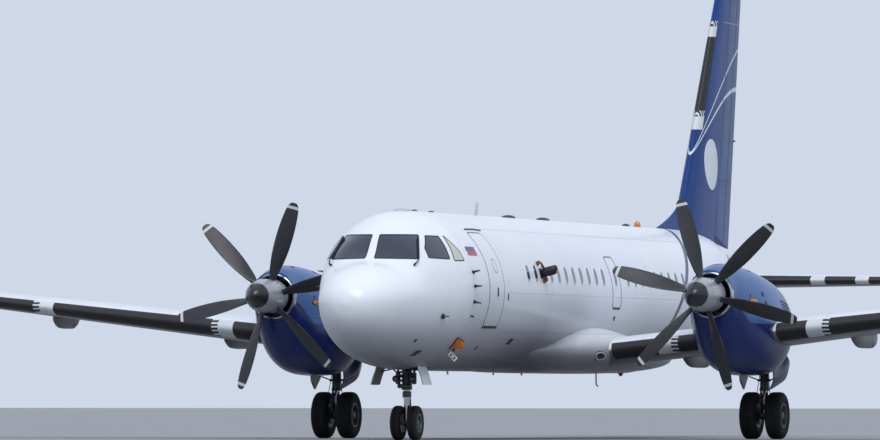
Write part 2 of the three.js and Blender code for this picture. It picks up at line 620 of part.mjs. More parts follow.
// Wheels: twin tyres on one hub set, which turns in the leg's boss
const MAIN_WHEEL = { radius: 440, width: 305, rim: 225, spacing: 490, axle: 45, station: WHEEL_BASE };
const NOSE_WHEEL = { radius: 310, width: 172, rim: 160, spacing: 314, axle: 32, station: 0 };
const TYRE_SIDES = 24;
const TYRE_PROFILE = [[0, 0.4], [0.3, 0.49], [0.65, 0.49], [0.92, 0.38], [1, 0.2]];
function tyre(wheel, x) {
  const reach = wheel.radius / Math.cos(Math.PI / TYRE_SIDES);
  const side = (sign) => TYRE_PROFILE.map(([out, wide]) => new THREE.Vector2(
    lerp(wheel.rim + 2 + SEAT, reach, out), sign * wide * wheel.width,
  ));
  const profile = [...side(-1), ...side(1).reverse()];
  profile.push(profile[0].clone());
  const geometry = new THREE.LatheGeometry(profile, TYRE_SIDES, Math.PI / TYRE_SIDES);
  return geometry.rotateZ(-Math.PI / 2).translate(x, wheel.station, wheel.radius);
}
function hubs(wheel, x) {
  const centre = (offset) => vec(x + offset, wheel.station, wheel.radius);
  const half = wheel.width * 0.4;
  const dish = (sign) => {
    const middle = sign * wheel.spacing / 2;
    return cut(
      bar(centre(middle - half), centre(middle + half), wheel.rim, 24),
      bar(centre(middle + sign * (half - 70)), centre(middle + sign * (half + 10)), wheel.rim - 30, 12),
    );
  };
  const reach = wheel.spacing / 2 + half - 10;
  return join(bar(centre(-reach), centre(reach), wheel.axle, 16), dish(-1), dish(1));
}

// Main leg: shock strut, sliding piston, boss for the axle, torque links and drag brace
const MAIN_LEG = { strut: 84, piston: 62, boss: 82, collar: 900 };
function mainLeg() {
  const at = (dx, dy, z) => vec(NACELLE_X + dx, WHEEL_BASE + dy, z);
  const body = join(
    bar(at(0, 0, MAIN_LEG.collar), at(0, 0, WELL.roof - SEAT), MAIN_LEG.strut, 14),
    bar(at(0, 0, MAIN_WHEEL.radius), at(0, 0, MAIN_LEG.collar + 20), MAIN_LEG.piston, 14),
    bar(at(-80, 0, MAIN_WHEEL.radius), at(80, 0, MAIN_WHEEL.radius), MAIN_LEG.boss, 16),
    bar(at(0, -60, 480), at(0, -250, 720), 26, 6),
    bar(at(0, -250, 720), at(0, -60, 960), 26, 6),
    bar(at(0, -40, 1050), at(0, -480, WELL.roof - 60), 32, 8),
    bar(at(-250, 0, 1500), at(250, 0, 1500), 40, 8),
  );
  const axleEnd = (across) => at(across, 0, MAIN_WHEEL.radius);
  return cut(body, bar(axleEnd(-90), axleEnd(90), boreFor(MAIN_WHEEL.axle, 16), 16));
}

// Nose leg: a fixed strut, and the steered piston that carries the wheels
const NOSE_LEG = { strut: 88, piston: 55, foot: 900, insert: 140, boss: 66 };
const TOW_LUG = { half: 40, front: -150, low: 270, high: 350 };
const noseAt = (dx, dy, z) => vec(dx, dy, z);
const noseStrut = cut(
  join(
    bar(noseAt(0, 0, NOSE_LEG.foot), noseAt(0, 0, BAY.roof - SEAT), NOSE_LEG.strut, 14),
    bar(noseAt(0, -60, 1150), noseAt(0, -520, BAY.roof - 40), 30, 8),
    bar(noseAt(-BAY.half + SEAT * 2, 0, 1500), noseAt(BAY.half - SEAT * 2, 0, 1500), 36, 8),
  ),
  bar(
    noseAt(0, 0, NOSE_LEG.foot - 10), noseAt(0, 0, NOSE_LEG.foot + NOSE_LEG.insert),
    boreFor(NOSE_LEG.piston, 20), 20,
  ),
);
const nosePiston = cut(
  join(
    bar(noseAt(0, 0, NOSE_WHEEL.radius), noseAt(0, 0, NOSE_LEG.foot + NOSE_LEG.insert - 5), NOSE_LEG.piston, 20),
    bar(noseAt(-62, 0, NOSE_WHEEL.radius), noseAt(62, 0, NOSE_WHEEL.radius), NOSE_LEG.boss, 16),
    bar(noseAt(0, 40, 330), noseAt(0, 210, 560), 20, 6),
    bar(noseAt(0, 210, 560), noseAt(0, 50, 800), 20, 6),
    bar(noseAt(0, 0, 770), noseAt(0, 0, 880), 80, 14),
    box([-TOW_LUG.half, TOW_LUG.front, TOW_LUG.low], [TOW_LUG.half, 0, TOW_LUG.high]),
  ),
  bar(
    noseAt(-90, 0, NOSE_WHEEL.radius), noseAt(90, 0, NOSE_WHEEL.radius),
    boreFor(NOSE_WHEEL.axle, 16), 16,
  ),
);
add('nose_strut', noseStrut, STEEL);
add('nose_steering_leg', nosePiston, STEEL);
add('nose_hubs', hubs(NOSE_WHEEL, 0), GREY);
add('nose_tyre_port', tyre(NOSE_WHEEL, NOSE_WHEEL.spacing / 2), RUBBER);
add('nose_tyre_starboard', tyre(NOSE_WHEEL, -NOSE_WHEEL.spacing / 2), RUBBER);

// Doors that hang open beside each leg, seated against the wall of their bay or well.
// Rows of a door: station, height of its top, and the edges as offsets out from the wall with their heights
const DOOR_THICK = 24;
const NOSE_DOOR_ROWS = [-600, -90].map((y) => (
  { y, top: 1430, knee: [0, 1300], bulge: [60, 1130], foot: [100, 990] }
));
const MAIN_DOOR_ROWS = [
  { y: 8560, top: 1420, knee: [0, 1290], bulge: [4, 1100], foot: [-70, 915] },
  { y: 8900, top: 1500, knee: [0, 1370], bulge: [55, 1190], foot: [-5, 1010] },
  { y: 9250, top: 1560, knee: [0, 1500], bulge: [85, 1320], foot: [50, 1130] },
  { y: 9470, top: 1610, knee: [0, 1590], bulge: [70, 1450], foot: [55, 1310] },
];
function hangingDoor(rows, wall) {
  return loft(rows.map(({ y, top, knee, bulge, foot }) => {
    const outside = [[0, top], knee, bulge, foot];
    const inside = outside.map(([out, z]) => [out - DOOR_THICK, z]).reverse();
    return [...outside, ...inside].map(([out, z]) => vec(wall + out, y, z));
  }));
}
const noseDoor = hangingDoor(NOSE_DOOR_ROWS, BAY.half - SEAT);
const mainDoorOuter = hangingDoor(MAIN_DOOR_ROWS, WELL.half - SEAT).translate(NACELLE_X, 0, 0);
const mainDoorInner = mirrored(mainDoorOuter).translate(2 * NACELLE_X, 0, 0);

// Fin with its dorsal fillet, rudder and the rudder's hinged trailing part
const finPlace = (s, y, h) => vec(h, y, s);
const FIN_SHARED = { camber: 0, twist: 0, stretch: 1.051 };
const FIN_ROWS = [
  { s: 3600, y: 17922, chord: 4182, thickness: 0.115, hinge: 0.57, ...FIN_SHARED },
  { s: 9200, y: 21484, chord: 1716, thickness: 0.11, hinge: 0.37, ...FIN_SHARED },
  { s: HEIGHT, y: 21660, chord: 1460, thickness: 0.05, hinge: 0.34, ...FIN_SHARED },
];
const RUDDER = { from: 3720, to: 9080, hinges: [4700, 6300, 8300], end: 60, slack: 18 };
const RUDDER_FOOT = { front: [20000, 4125], rear: [23000, 3650] };
const DORSAL_ROWS = [
  { y: 16500, top: 4080, half: 20 },
  { y: 17000, top: 4175, half: 50 },
  { y: 17654, top: 4337, half: 75 },
  { y: 18150, top: 4510, half: 85 },
  { y: 18516, top: 4690, half: 85 },
  { y: 18760, top: 4900, half: 80 },
  { y: 19000, top: 5240, half: 60 },
];
const DORSAL_FOOT = 3800;
const DORSAL_EDGE = 10;
const dorsal = loft(DORSAL_ROWS.map(({ y, top, half }) => [
  vec(half * 1.6, y, DORSAL_FOOT), vec(half, y, lerp(DORSAL_FOOT, top, 0.7)), vec(DORSAL_EDGE, y, top),
  vec(-DORSAL_EDGE, y, top), vec(-half, y, lerp(DORSAL_FOOT, top, 0.7)), vec(-half * 1.6, y, DORSAL_FOOT),
]));
const underRudder = box([-600, 20300, 3400], [600, 24000, RUDDER.from]);
const rudderHinges = RUDDER.hinges.map((s) => hingeAt(finPlace, FIN_ROWS, s, RUDDER.slack));
const fin = cut(
  join(
    cut(
      join(surfaceLoft(finPlace, FIN_ROWS, foilOutline), dorsal),
      cove(finPlace, FIN_ROWS, RUDDER),
      underRudder,
    ),
    ...rudderHinges.map(({ lug }) => lug),
  ),
  wholeFuselage,
);
add('fin', fin, BLUE);

// Both parts of the rudder end in a sloping foot just above the tail cone
const belowFoot = loft([-600, 600].map((x) => [
  vec(x, ...RUDDER_FOOT.front), vec(x, ...RUDDER_FOOT.rear),
  vec(x, RUDDER_FOOT.rear[0], 3000), vec(x, RUDDER_FOOT.front[0], 3000),
]));

// The trailing part of the rudder has its own hinge line further back
const TAB_ROWS = FIN_ROWS.map((row, at) => ({ ...row, hinge: [0.815, 0.757, 0.75][at], stretch: 1.033 }));
const TAB = { from: RUDDER.from, to: RUDDER.to, hinges: [4500, 6500, 8600] };
const tabHinges = TAB.hinges.map((s) => hingeAt(finPlace, TAB_ROWS, s, RUDDER.slack));
const tabCove = surfaceLoft(finPlace, span(TAB_ROWS, TAB.from - 50, TAB.to + 50), coveOutline);
const rudder = cut(
  join(cut(movingPart(finPlace, FIN_ROWS, RUDDER), tabCove), ...tabHinges.map(({ lug }) => lug)),
  ...rudderHinges.map(({ slot }) => slot),
  belowFoot,
);
add('rudder', rudder, BLUE);
const trailingRudder = cut(movingPart(finPlace, TAB_ROWS, TAB), ...tabHinges.map(({ slot }) => slot), belowFoot);
add('rudder_trailing_part', trailingRudder, BLUE);

// Tailplane and elevators
const TAIL_HEIGHT = 3125;
const tailPlace = (s, y, h) => vec(s, y, TAIL_HEIGHT + h);
const TAIL_SHARED = { camber: 0, twist: 0, hinge: 0.66 };
const TAIL_PLANE_ROWS = [
  { s: 100, y: 19711, chord: 2609, thickness: 0.12, ...TAIL_SHARED },
  { s: 5350, y: 20730, chord: 1330, thickness: 0.11, ...TAIL_SHARED },
  { s: TAILPLANE_SPAN / 2, y: 20850, chord: 1120, thickness: 0.05, ...TAIL_SHARED },
];
const ELEVATOR = { from: 1050, to: 5150, hinges: [1500, 3100, 4700], end: 14 };
const elevatorHinges = ELEVATOR.hinges.map((s) => hingeAt(tailPlace, TAIL_PLANE_ROWS, s));
const elevator = cut(movingPart(tailPlace, TAIL_PLANE_ROWS, ELEVATOR), ...elevatorHinges.map(({ slot }) => slot));
const tailplane = cut(
  join(cut(surfaceLoft(tailPlace, TAIL_PLANE_ROWS, foilOutline), cove(tailPlace, TAIL_PLANE_ROWS, ELEVATOR)),
    ...elevatorHinges.map(({ lug }) => lug)),
  wholeFuselage,
);

// Pieces of the port side and their mirror images
const PAIRED = [
  ['cowling', cowling, BLUE],
  ['engine_block', engine, STEEL],
  ['gear_nacelle', gearNacelle, BLUE],
  ['wing_inner', innerWing, WHITE],
  ['wing_outer', outerWing, WHITE],
  ['flap_inner', flaps[0].body, WHITE],
  ['flap_outer', flaps[1].body, WHITE],
  ['aileron', aileron, WHITE],
  ['spinner', spinner, GREY],
  ['main_leg', mainLeg(), STEEL],
  ['main_hubs', hubs(MAIN_WHEEL, NACELLE_X), GREY],
  ['main_tyre_inner', tyre(MAIN_WHEEL, NACELLE_X - MAIN_WHEEL.spacing / 2), RUBBER],
  ['main_tyre_outer', tyre(MAIN_WHEEL, NACELLE_X + MAIN_WHEEL.spacing / 2), RUBBER],
  ['main_door_inner', mainDoorInner, BLUE],
  ['main_door_outer', mainDoorOuter, BLUE],
  ['tailplane', tailplane, WHITE],
  ['elevator', elevator, WHITE],
  ['nose_door', noseDoor, WHITE],
];
for (const [name, shape, material] of PAIRED) {
  add(`${name}_port`, shape, material);
  add(`${name}_starboard`, mirrored(shape), material);
}

// Both propellers turn the same way, so the starboard one is moved across instead of mirrored.
const REST_BLADES = { port: 45, starboard: 17 };
add('propeller_port', propeller(REST_BLADES.port), BLACK);
add('propeller_starboard', propeller(REST_BLADES.starboard), BLACK).position.x = -2 * NACELLE_X;

export default airframe;
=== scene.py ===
# %% [markdown]
# A twin-turboprop regional airliner, parked on its landing gear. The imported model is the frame, and this
# lesson dresses its solids with smooth skins, paint and small fittings. Each piece is made where the frame
# has it, in metres, and what comes twice is mirrored or copied across.

# %% The frame
import json
import math
from functools import partialmethod

import bmesh
import bpy
import numpy as np
from mathutils import Matrix, Vector
from mathutils.bvhtree import BVHTree


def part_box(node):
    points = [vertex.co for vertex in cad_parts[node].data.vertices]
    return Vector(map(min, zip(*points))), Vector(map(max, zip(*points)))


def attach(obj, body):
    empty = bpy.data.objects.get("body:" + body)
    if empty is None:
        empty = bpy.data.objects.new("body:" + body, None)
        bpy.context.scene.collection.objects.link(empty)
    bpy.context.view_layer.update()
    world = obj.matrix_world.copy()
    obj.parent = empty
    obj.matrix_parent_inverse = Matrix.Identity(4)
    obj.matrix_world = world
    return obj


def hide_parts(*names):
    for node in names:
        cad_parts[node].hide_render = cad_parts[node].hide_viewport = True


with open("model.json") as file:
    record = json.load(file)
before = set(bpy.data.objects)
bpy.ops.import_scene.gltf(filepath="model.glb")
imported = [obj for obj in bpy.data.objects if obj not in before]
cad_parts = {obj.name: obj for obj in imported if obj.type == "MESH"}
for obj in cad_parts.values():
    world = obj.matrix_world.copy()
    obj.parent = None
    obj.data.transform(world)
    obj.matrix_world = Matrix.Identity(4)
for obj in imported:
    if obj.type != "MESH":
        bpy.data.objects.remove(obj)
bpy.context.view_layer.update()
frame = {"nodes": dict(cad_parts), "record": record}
BODY_OF = {node: body for body, nodes in frame["record"]["behaviour"]["bodies"].items() for node in nodes}

# %% [markdown]
# Everything on the airframe is measured as a station, the distance aft of the nose-wheel axle, and a
# height above the ground. The axle's own place comes from the frame, so a station turns into a Y by one sum.

# %% Stations
AXLE_Y = sum(corner.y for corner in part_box("nose_hubs")) / 2
MAIN_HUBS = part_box("main_hubs_port")
NACELLE_X = (MAIN_HUBS[0].x + MAIN_HUBS[1].x) / 2
MAIN_AXLE = (MAIN_HUBS[0].y + MAIN_HUBS[1].y) / 2 - AXLE_Y
print("nose axle at y", round(AXLE_Y, 3), "main axle at station", round(MAIN_AXLE, 3))

# %% [markdown]
# Most skins of an aeroplane are lofts: a row of cross-sections joined by a smooth surface. The rows are the
# ones that the solids were made from, and more sections and more sides between them make the skin smooth.
# A grid of quads is made in code, because a modifier could not follow a table of sections.

# %% Mesh helpers
def mesh_object(name, vertices, faces):
    mesh = bpy.data.meshes.new(name)
    mesh.from_pydata([tuple(map(float, point)) for point in vertices], [], faces)
    mesh.update()
    made = bpy.data.objects.new(name, mesh)
    bpy.context.scene.collection.objects.link(made)
    return made


def outward(target):
    """Turns the faces of a closed mesh to point out, and merges doubled points first."""
    bm = bmesh.new()
    bm.from_mesh(target.data)
    bmesh.ops.remove_doubles(bm, verts=bm.verts, dist=1e-5)
    bmesh.ops.recalc_face_normals(bm, faces=bm.faces)
    bm.to_mesh(target.data)
    bm.free()
    return target


def loft(name, rings, hoop=False):
    """A closed skin through rings of equally many points: its ends are filled flat, or a hoop's ends meet."""
    rings = np.asarray(rings, float)
    steps, count = rings.shape[:2]
    faces = []
    for ring in range(steps if hoop else steps - 1):
        for corner in range(count):
            near, following = ring * count + corner, ring * count + (corner + 1) % count
            onward = count if ring < steps - 1 else -ring * count
            faces.append((near, following, following + onward, near + onward))
    if not hoop:
        faces.append(tuple(range(count)))
        faces.append(tuple(range((steps - 1) * count, steps * count)))
    return outward(mesh_object(name, rings.reshape(-1, 3), faces))


def evaluated(target):
    """Replaces an object's mesh by what its modifiers make of it, and drops the modifiers."""
    graph = bpy.context.evaluated_depsgraph_get()
    mesh = bpy.data.meshes.new_from_object(target.evaluated_get(graph))
    target.modifiers.clear()
    target.data = mesh
    return target


def combine(target, tools, operation):
    for tool in tools:
        step = target.modifiers.new("cut", "BOOLEAN")
        step.operation = operation
        step.solver = "EXACT"
        step.object = tool
    evaluated(target)
    for tool in tools:
        bpy.data.objects.remove(tool)
    return target


def carve(target, *tools):
    return combine(target, tools, "DIFFERENCE")


def copied(source, name, shift=(0, 0, 0), mirror=False):
    """A copy of a mesh, moved across, or as its mirror image on the other side of the centreline."""
    twin = bpy.data.objects.new(name, source.data.copy())
    bpy.context.scene.collection.objects.link(twin)
    twin.data.transform(Matrix.Diagonal((-1, 1, 1, 1)) if mirror else Matrix.Translation(shift))
    if mirror:
        twin.data.flip_normals()
    return twin


def block(low, high):
    corners = [(x, y, z) for x in (low[0], high[0]) for y in (low[1], high[1]) for z in (low[2], high[2])]
    sides = [(0, 1, 3, 2), (4, 6, 7, 5), (0, 4, 5, 1), (2, 3, 7, 6), (0, 2, 6, 4), (1, 5, 7, 3)]
    return mesh_object("block", corners, sides)


def circle(count):
    """Evenly spaced angles, once round."""
    return np.arange(count) / count * 2 * math.pi


def round_ring(centre, across, up, radius, sides):
    return [centre + (across * math.cos(t) + up * math.sin(t)) * radius for t in circle(sides)]


def turned(name, profile, start, axis, sides=48, hoop=False):
    """A turned piece: a profile of (along, radius) pairs swept round an axis from a start point."""
    start, axis = Vector(start), Vector(axis).normalized()
    across = axis.orthogonal().normalized() if abs(axis.x) < 0.9 else Vector((0, 0, 1))
    up = axis.cross(across)
    rings = [round_ring(start + axis * along_it, across, up, radius, sides) for along_it, radius in profile]
    return loft(name, rings, hoop)


def rod(start, end, *radii, sides=20):
    """A round bar between two points. More radii than one are spread evenly along it."""
    start, end = Vector(start), Vector(end)
    reach = (end - start).length
    radii = radii if len(radii) > 1 else radii * 2
    profile = [(reach * at / (len(radii) - 1), radius) for at, radius in enumerate(radii)]
    return turned("rod", profile, start, end - start, sides)


def tube(points, radius, sides=10):
    """A hose or wire of one thickness through a few points, rounded by a smooth curve through them."""
    path = [Vector(point) for point in blend(points, 6)]
    rings = []
    across = (path[1] - path[0]).orthogonal().normalized()
    for at, point in enumerate(path):
        ahead = (path[min(at + 1, len(path) - 1)] - path[max(at - 1, 0)]).normalized()
        across = (across - ahead * across.dot(ahead)).normalized()
        rings.append(round_ring(point, across, ahead.cross(across), radius, sides))
    return loft("tube", rings)


def gathered(pieces):
    """The points and the faces of several meshes, as one list of each."""
    vertices, faces = [], []
    for piece in pieces:
        start = len(vertices)
        vertices += [tuple(vertex.co) for vertex in piece.data.vertices]
        faces += [tuple(start + at for at in face.vertices) for face in piece.data.polygons]
    return vertices, faces


def merged(name, *pieces):
    """Several closed meshes as one object, each still closed in itself."""
    vertices, faces = gathered(pieces)
    for piece in pieces:
        bpy.data.objects.remove(piece)
    return mesh_object(name, vertices, faces)


# What a piece rides on, and the slot of its paint, for the pieces that stand still
ON_WHITE = ("airframe", "white_paint")
ON_BLUE = ("airframe", "blue_paint")
ON_WING = ("airframe", "wing_paint")
ON_LEG = ("airframe", "gear_steel")


def settle(target, body, slot, material, *nodes, angle=32):
    """Smooths a finished piece, gives it its material and its body, and hides the nodes it stands for; slot
    is not used.
    """
    target.data.polygons.foreach_set("use_smooth", [True] * len(target.data.polygons))
    target.data.set_sharp_from_angle(angle=math.radians(angle))
    target.data.materials.clear()
    target.data.materials.append(material)
    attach(target, body)
    if nodes:
        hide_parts(*nodes)


def pair(source, name, body, slot, material, *nodes):
    """Settles a port piece and its mirror image. A star in a body or node becomes the side."""
    twin = copied(source, name + "_starboard", mirror=True)
    source.name = name + "_port"
    for side, piece in (("port", source), ("starboard", twin)):
        hidden = (node.replace("*", side) for node in nodes)
        settle(piece, body.replace("*", side), slot, material, *hidden)


def twins(source, node, body, slot, material):
    """Settles a port skin and its mirror image, each in place of the solid on its own side."""
    twin = copied(source, node + "_starboard_skin", mirror=True)
    settle(source, body, slot, material, node + "_port")
    settle(twin, body, slot, material, node + "_starboard")


def triangles(target):
    return sum(len(face.vertices) - 2 for face in target.data.polygons)


# %% [markdown]
# Paint on an aircraft is glossy and nearly flat in colour. What makes it read as paint is what disturbs it:
# faint streaks, lap joints of the skin panels, rows of rivets and a slow change of gloss. Those are sums and
# products of patterns, so a small class wraps a socket and lets the sums be written as Python expressions.

# %% Shader expressions
class Field:
    """A value at each point of a surface: a node's output that can be added, multiplied and compared."""

    def __init__(self, paint, socket):
        self.paint, self.socket = paint, socket

    def maths(self, operation, *others):
        return self.paint.node("Math", {"operation": operation}, dict(enumerate((self, *others))))

    def __rsub__(self, other):
        return self.paint.node("Math", {"operation": "SUBTRACT"}, {0: other, 1: self})

    def near(self, place, half, soft=0.003):
        """1 within half of a place, and 0 beyond."""
        return 1 - abs(self - place).rise(half, half + soft)

    def within(self, start, end):
        """1 between two soft edges, each given by the places where it starts and ends, and 0 outside them."""
        return self.rise(*start) * (1 - self.rise(*end))

    def repeat(self, length):
        """Distance from the nearest whole multiple of a length."""
        return self.maths("PINGPONG", length / 2)

    def rise(self, start, end):
        """0 before start, 1 after end, and a smooth change between."""
        settings = {"interpolation_type": "SMOOTHSTEP", "clamp": True}
        return self.paint.node("MapRange", settings, {"Value": self, "From Min": start, "From Max": end})


OPERATIONS = {
    "__add__": "ADD", "__radd__": "ADD", "__sub__": "SUBTRACT", "__mul__": "MULTIPLY", "__rmul__": "MULTIPLY",
    "__truediv__": "DIVIDE", "__gt__": "GREATER_THAN", "__lt__": "LESS_THAN", "__abs__": "ABSOLUTE",
    "least": "MINIMUM", "most": "MAXIMUM",
}
for method, operation in OPERATIONS.items():
    setattr(Field, method, partialmethod(Field.maths, operation))


class Paint:
    """A material's node tree, built by expressions."""

    def __init__(self, name, roughness=0.4, metallic=0.0, coat=0.0, specular=0.5):
        self.material = bpy.data.materials.new(name)
        self.material.use_nodes = True
        self.tree = self.material.node_tree
        self.shader = self.tree.nodes["Principled BSDF"]
        steady = {"Roughness": roughness, "Metallic": metallic, "Coat Weight": coat,
                  "Specular IOR Level": specular}
        for socket, value in steady.items():
            self.shader.inputs[socket].default_value = value
        self.place = self.node("TexCoord", output="Object")
        self.x, self.y, self.z = (self.node("SeparateXYZ", {}, {0: self.place}, axis) for axis in "XYZ")
        self.station = self.y - AXLE_Y
        self.out = abs(self.x)

    def plug(self, socket, value):
        if isinstance(value, Field):
            self.tree.links.new(value.socket, socket)
        else:
            socket.default_value = value

    def node(self, kind, settings=None, inputs=None, output=0):
        made = self.tree.nodes.new("ShaderNode" + kind)
        for key, value in (settings or {}).items():
            setattr(made, key, value)
        for key, value in (inputs or {}).items():
            self.plug(made.inputs[key], value)
        return Field(self, made.outputs[output])

    def noise(self, scale, detail=3.0, stretch=(1, 1, 1)):
        place = self.node("Mapping", {}, {"Vector": self.place, "Scale": stretch})
        sizes = {"Vector": place, "Scale": scale, "Detail": detail, "Roughness": 0.55}
        return self.node("TexNoise", {}, sizes)

    def mix(self, share, first, second):
        """Two colours mixed, the second where share is 1."""
        return self.node("Mix", {"data_type": "RGBA"}, {0: share, 6: first, 7: second}, 2)

    def finish(self, colour=None, roughness=None, metallic=None, bump=None, depth=0.01, strength=0.4):
        for name, value in (("Base Color", colour), ("Roughness", roughness), ("Metallic", metallic)):
            if value is not None:
                self.plug(self.shader.inputs[name], value)
        if bump is not None:
            normal = self.node("Bump", {}, {"Height": bump, "Distance": depth, "Strength": strength})
            self.plug(self.shader.inputs["Normal"], normal)
        return self.material


def rgb(*levels):
    """A colour read from a screen, 0 to 255, as the linear value that the shaders use."""
    linear = [((v / 255 + 0.055) / 1.055) ** 2.4 if v > 10 else v / 255 / 12.92 for v in levels]
    return (*linear, 1)


def darker(colour, amount):
    return tuple(channel * (1 - amount) for channel in colour[:3]) + (1,)


# %% [markdown]
# Small parts have plain finishes: one colour with a faint mottling, and a gloss that varies as faintly.
# One function makes them all, and the livery's stripes and panels come with the large skins below.

# %% Base finishes
def mottled(paint, colour, amount=0.08, scale=1.5):
    """A colour that drifts slightly darker in patches."""
    return paint.mix(paint.noise(scale), colour, darker(colour, amount))


def plain(name, colour, roughness, metallic=0.0, coat=0.0, scale=2.0, grain=60.0, amount=0.12):
    """One colour with darker patches, which are wear except on the cockpit glass, and an uneven gloss."""
    paint = Paint(name, roughness, metallic, coat)
    gloss = paint.noise(scale * 2) * 0.16 + (roughness - 0.08)
    tone = mottled(paint, colour, amount, scale)
    return paint.finish(tone, gloss, bump=paint.noise(grain), depth=0.002, strength=0.12)


WHITE = rgb(236, 239, 244)
RUBBER = plain("tyre_rubber", rgb(24, 25, 27), 0.85, scale=6, grain=140)
# The gear's dark grey is painted shade: the real gear is light grey, seen in deep shadow under the aircraft.
SHADED_STEEL = plain("gear_paint_shaded", rgb(82, 84, 88), 0.42, 0.3, scale=8, grain=90, amount=0.3)
CHROME = plain("chromed_piston", rgb(205, 208, 212), 0.12, 1.0, scale=6, amount=0.05)
WHEEL = plain("wheel_paint", rgb(88, 91, 96), 0.45, 0.2, scale=8, amount=0.25)
METAL = plain("polished_metal", rgb(196, 200, 206), 0.22, 1.0, scale=6, amount=0.06)
ENGINE = plain("engine_metal", rgb(120, 118, 114), 0.4, 0.9, scale=6)
DARK = plain("black_seal", rgb(22, 24, 28), 0.5, scale=5, amount=0.2)
FITTING = plain("dark_fitting", rgb(52, 55, 62), 0.45, scale=9, amount=0.3)
GLASS = plain("cabin_glass", rgb(66, 78, 104), 0.07, coat=0.6, scale=3, amount=0.35)
# The cockpit glass is lighter than the dark inside behind it: a painted reflection of the sky, broken by
# darker patches.
COCKPIT = plain("cockpit_glass", rgb(52, 56, 76), 0.06, coat=0.8, scale=1.4, amount=0.5)
SHADE = plain("drawn_shade", rgb(206, 206, 196), 0.5, scale=9, amount=0.15)
AMBER = plain("amber_lens", rgb(214, 122, 34), 0.15, coat=0.6, scale=20, amount=0.3)
COVER_CLOTH = plain("cover_cloth", rgb(226, 134, 34), 0.6, scale=9, amount=0.75)
COVER_HEM = plain("cover_hem", rgb(104, 44, 30), 0.6, scale=12, amount=0.4)
BRONZE = plain("bronze_bracket", rgb(140, 84, 48), 0.4, 0.3, scale=14, amount=0.4)
RED = plain("red_lens", rgb(190, 30, 26), 0.15, coat=0.6, scale=20)
PALE_SEAL = plain("pale_seal", rgb(150, 154, 162), 0.5, scale=9)
GREEN = plain("green_lens", rgb(20, 140, 70), 0.15, coat=0.6, scale=20)
DOOR_WHITE = plain("door_white", rgb(232, 235, 242), 0.35, coat=0.3, scale=4, amount=0.06)
CLEAR = plain("clear_lens", rgb(226, 232, 236), 0.1, coat=0.7, scale=20)

# %% [markdown]
# Large skins carry the seams of their panels. A butt joint runs round a body at a station, a lap joint runs
# along it at a height, and each has a row of rivets beside it. Grime gathers below and streaks backwards,
# and on the fuselage's belly that darkening is partly painted shade.

# %% Paint with seams, rivets, grime and painted shade
SEAM = 0.004
RIVET = {"pitch": 0.06, "size": 0.007, "off": 0.02}
# The dark grey of grime, which on the fuselage's belly is also painted shade.
GRIME_AND_SHADE = rgb(74, 75, 78)


def joints(coordinate, run, places):
    """Seams at places along one coordinate, and the rivet rows beside them, spaced along the other."""
    seams = sum((coordinate.near(place, SEAM) for place in places), 0.0)
    rows = sum((coordinate.near(place + RIVET["off"], RIVET["size"]) for place in places), 0.0)
    return seams, rows * run.repeat(RIVET["pitch"]).near(0, RIVET["size"])


def skinned(paint, colour, seams, rivets, grime, roughness=0.3):
    """The shared end of a skin's paint: colour with seams, grime and painted shade, gloss that varies, and
    their relief.
    """
    streaks = paint.noise(1.2, 5, (6, 0.35, 6))
    # Grime streaked backwards, partly painted shade on the belly, darkens the colour and dulls the gloss.
    dirt_and_shade = grime * (streaks * 0.9 + 0.25)
    dirtied_and_shaded = paint.mix(dirt_and_shade.least(0.85), colour, GRIME_AND_SHADE)
    marked = paint.mix((seams * 0.3 + rivets * 0.12).least(0.6), dirtied_and_shaded, rgb(70, 76, 88))
    gloss = paint.noise(3.0) * 0.12 + dirt_and_shade * 0.25 + (roughness - 0.05)
    waves = paint.noise(2.2) * 0.6 + paint.noise(60) * 0.02
    return paint.finish(marked, gloss, bump=waves - seams + rivets * 0.4, depth=0.004, strength=0.35)

# %% Fuselage paint
STRIPE = {"station": 13.44, "turn": 1.72, "bend": 0.36, "half": 0.1, "middle": 2.676}
STRIPE_BLUE = rgb(38, 56, 100)
BUTTS = [-0.45, 1.62, 4.4, 8.02, 11.2, 14.02, 17.22, 19.3, 20.9]
LAPS = [3.8, 2.65, 1.95]
LAPPED = ((1.6, 1.62), (16.8, 17.2))
TAIL_CAP = {"station": 21.7, "height": 3.5}
# Heights and stations of the belly's painted shade, its painted shadow and its grime.
BELLY = {"shade": (1.15, 2.75), "patch": (1.3, 2.35), "patch_run": ((1.2, 4.4), (5.2, 6.6)),
         "grime": (1.25, 2.2)}


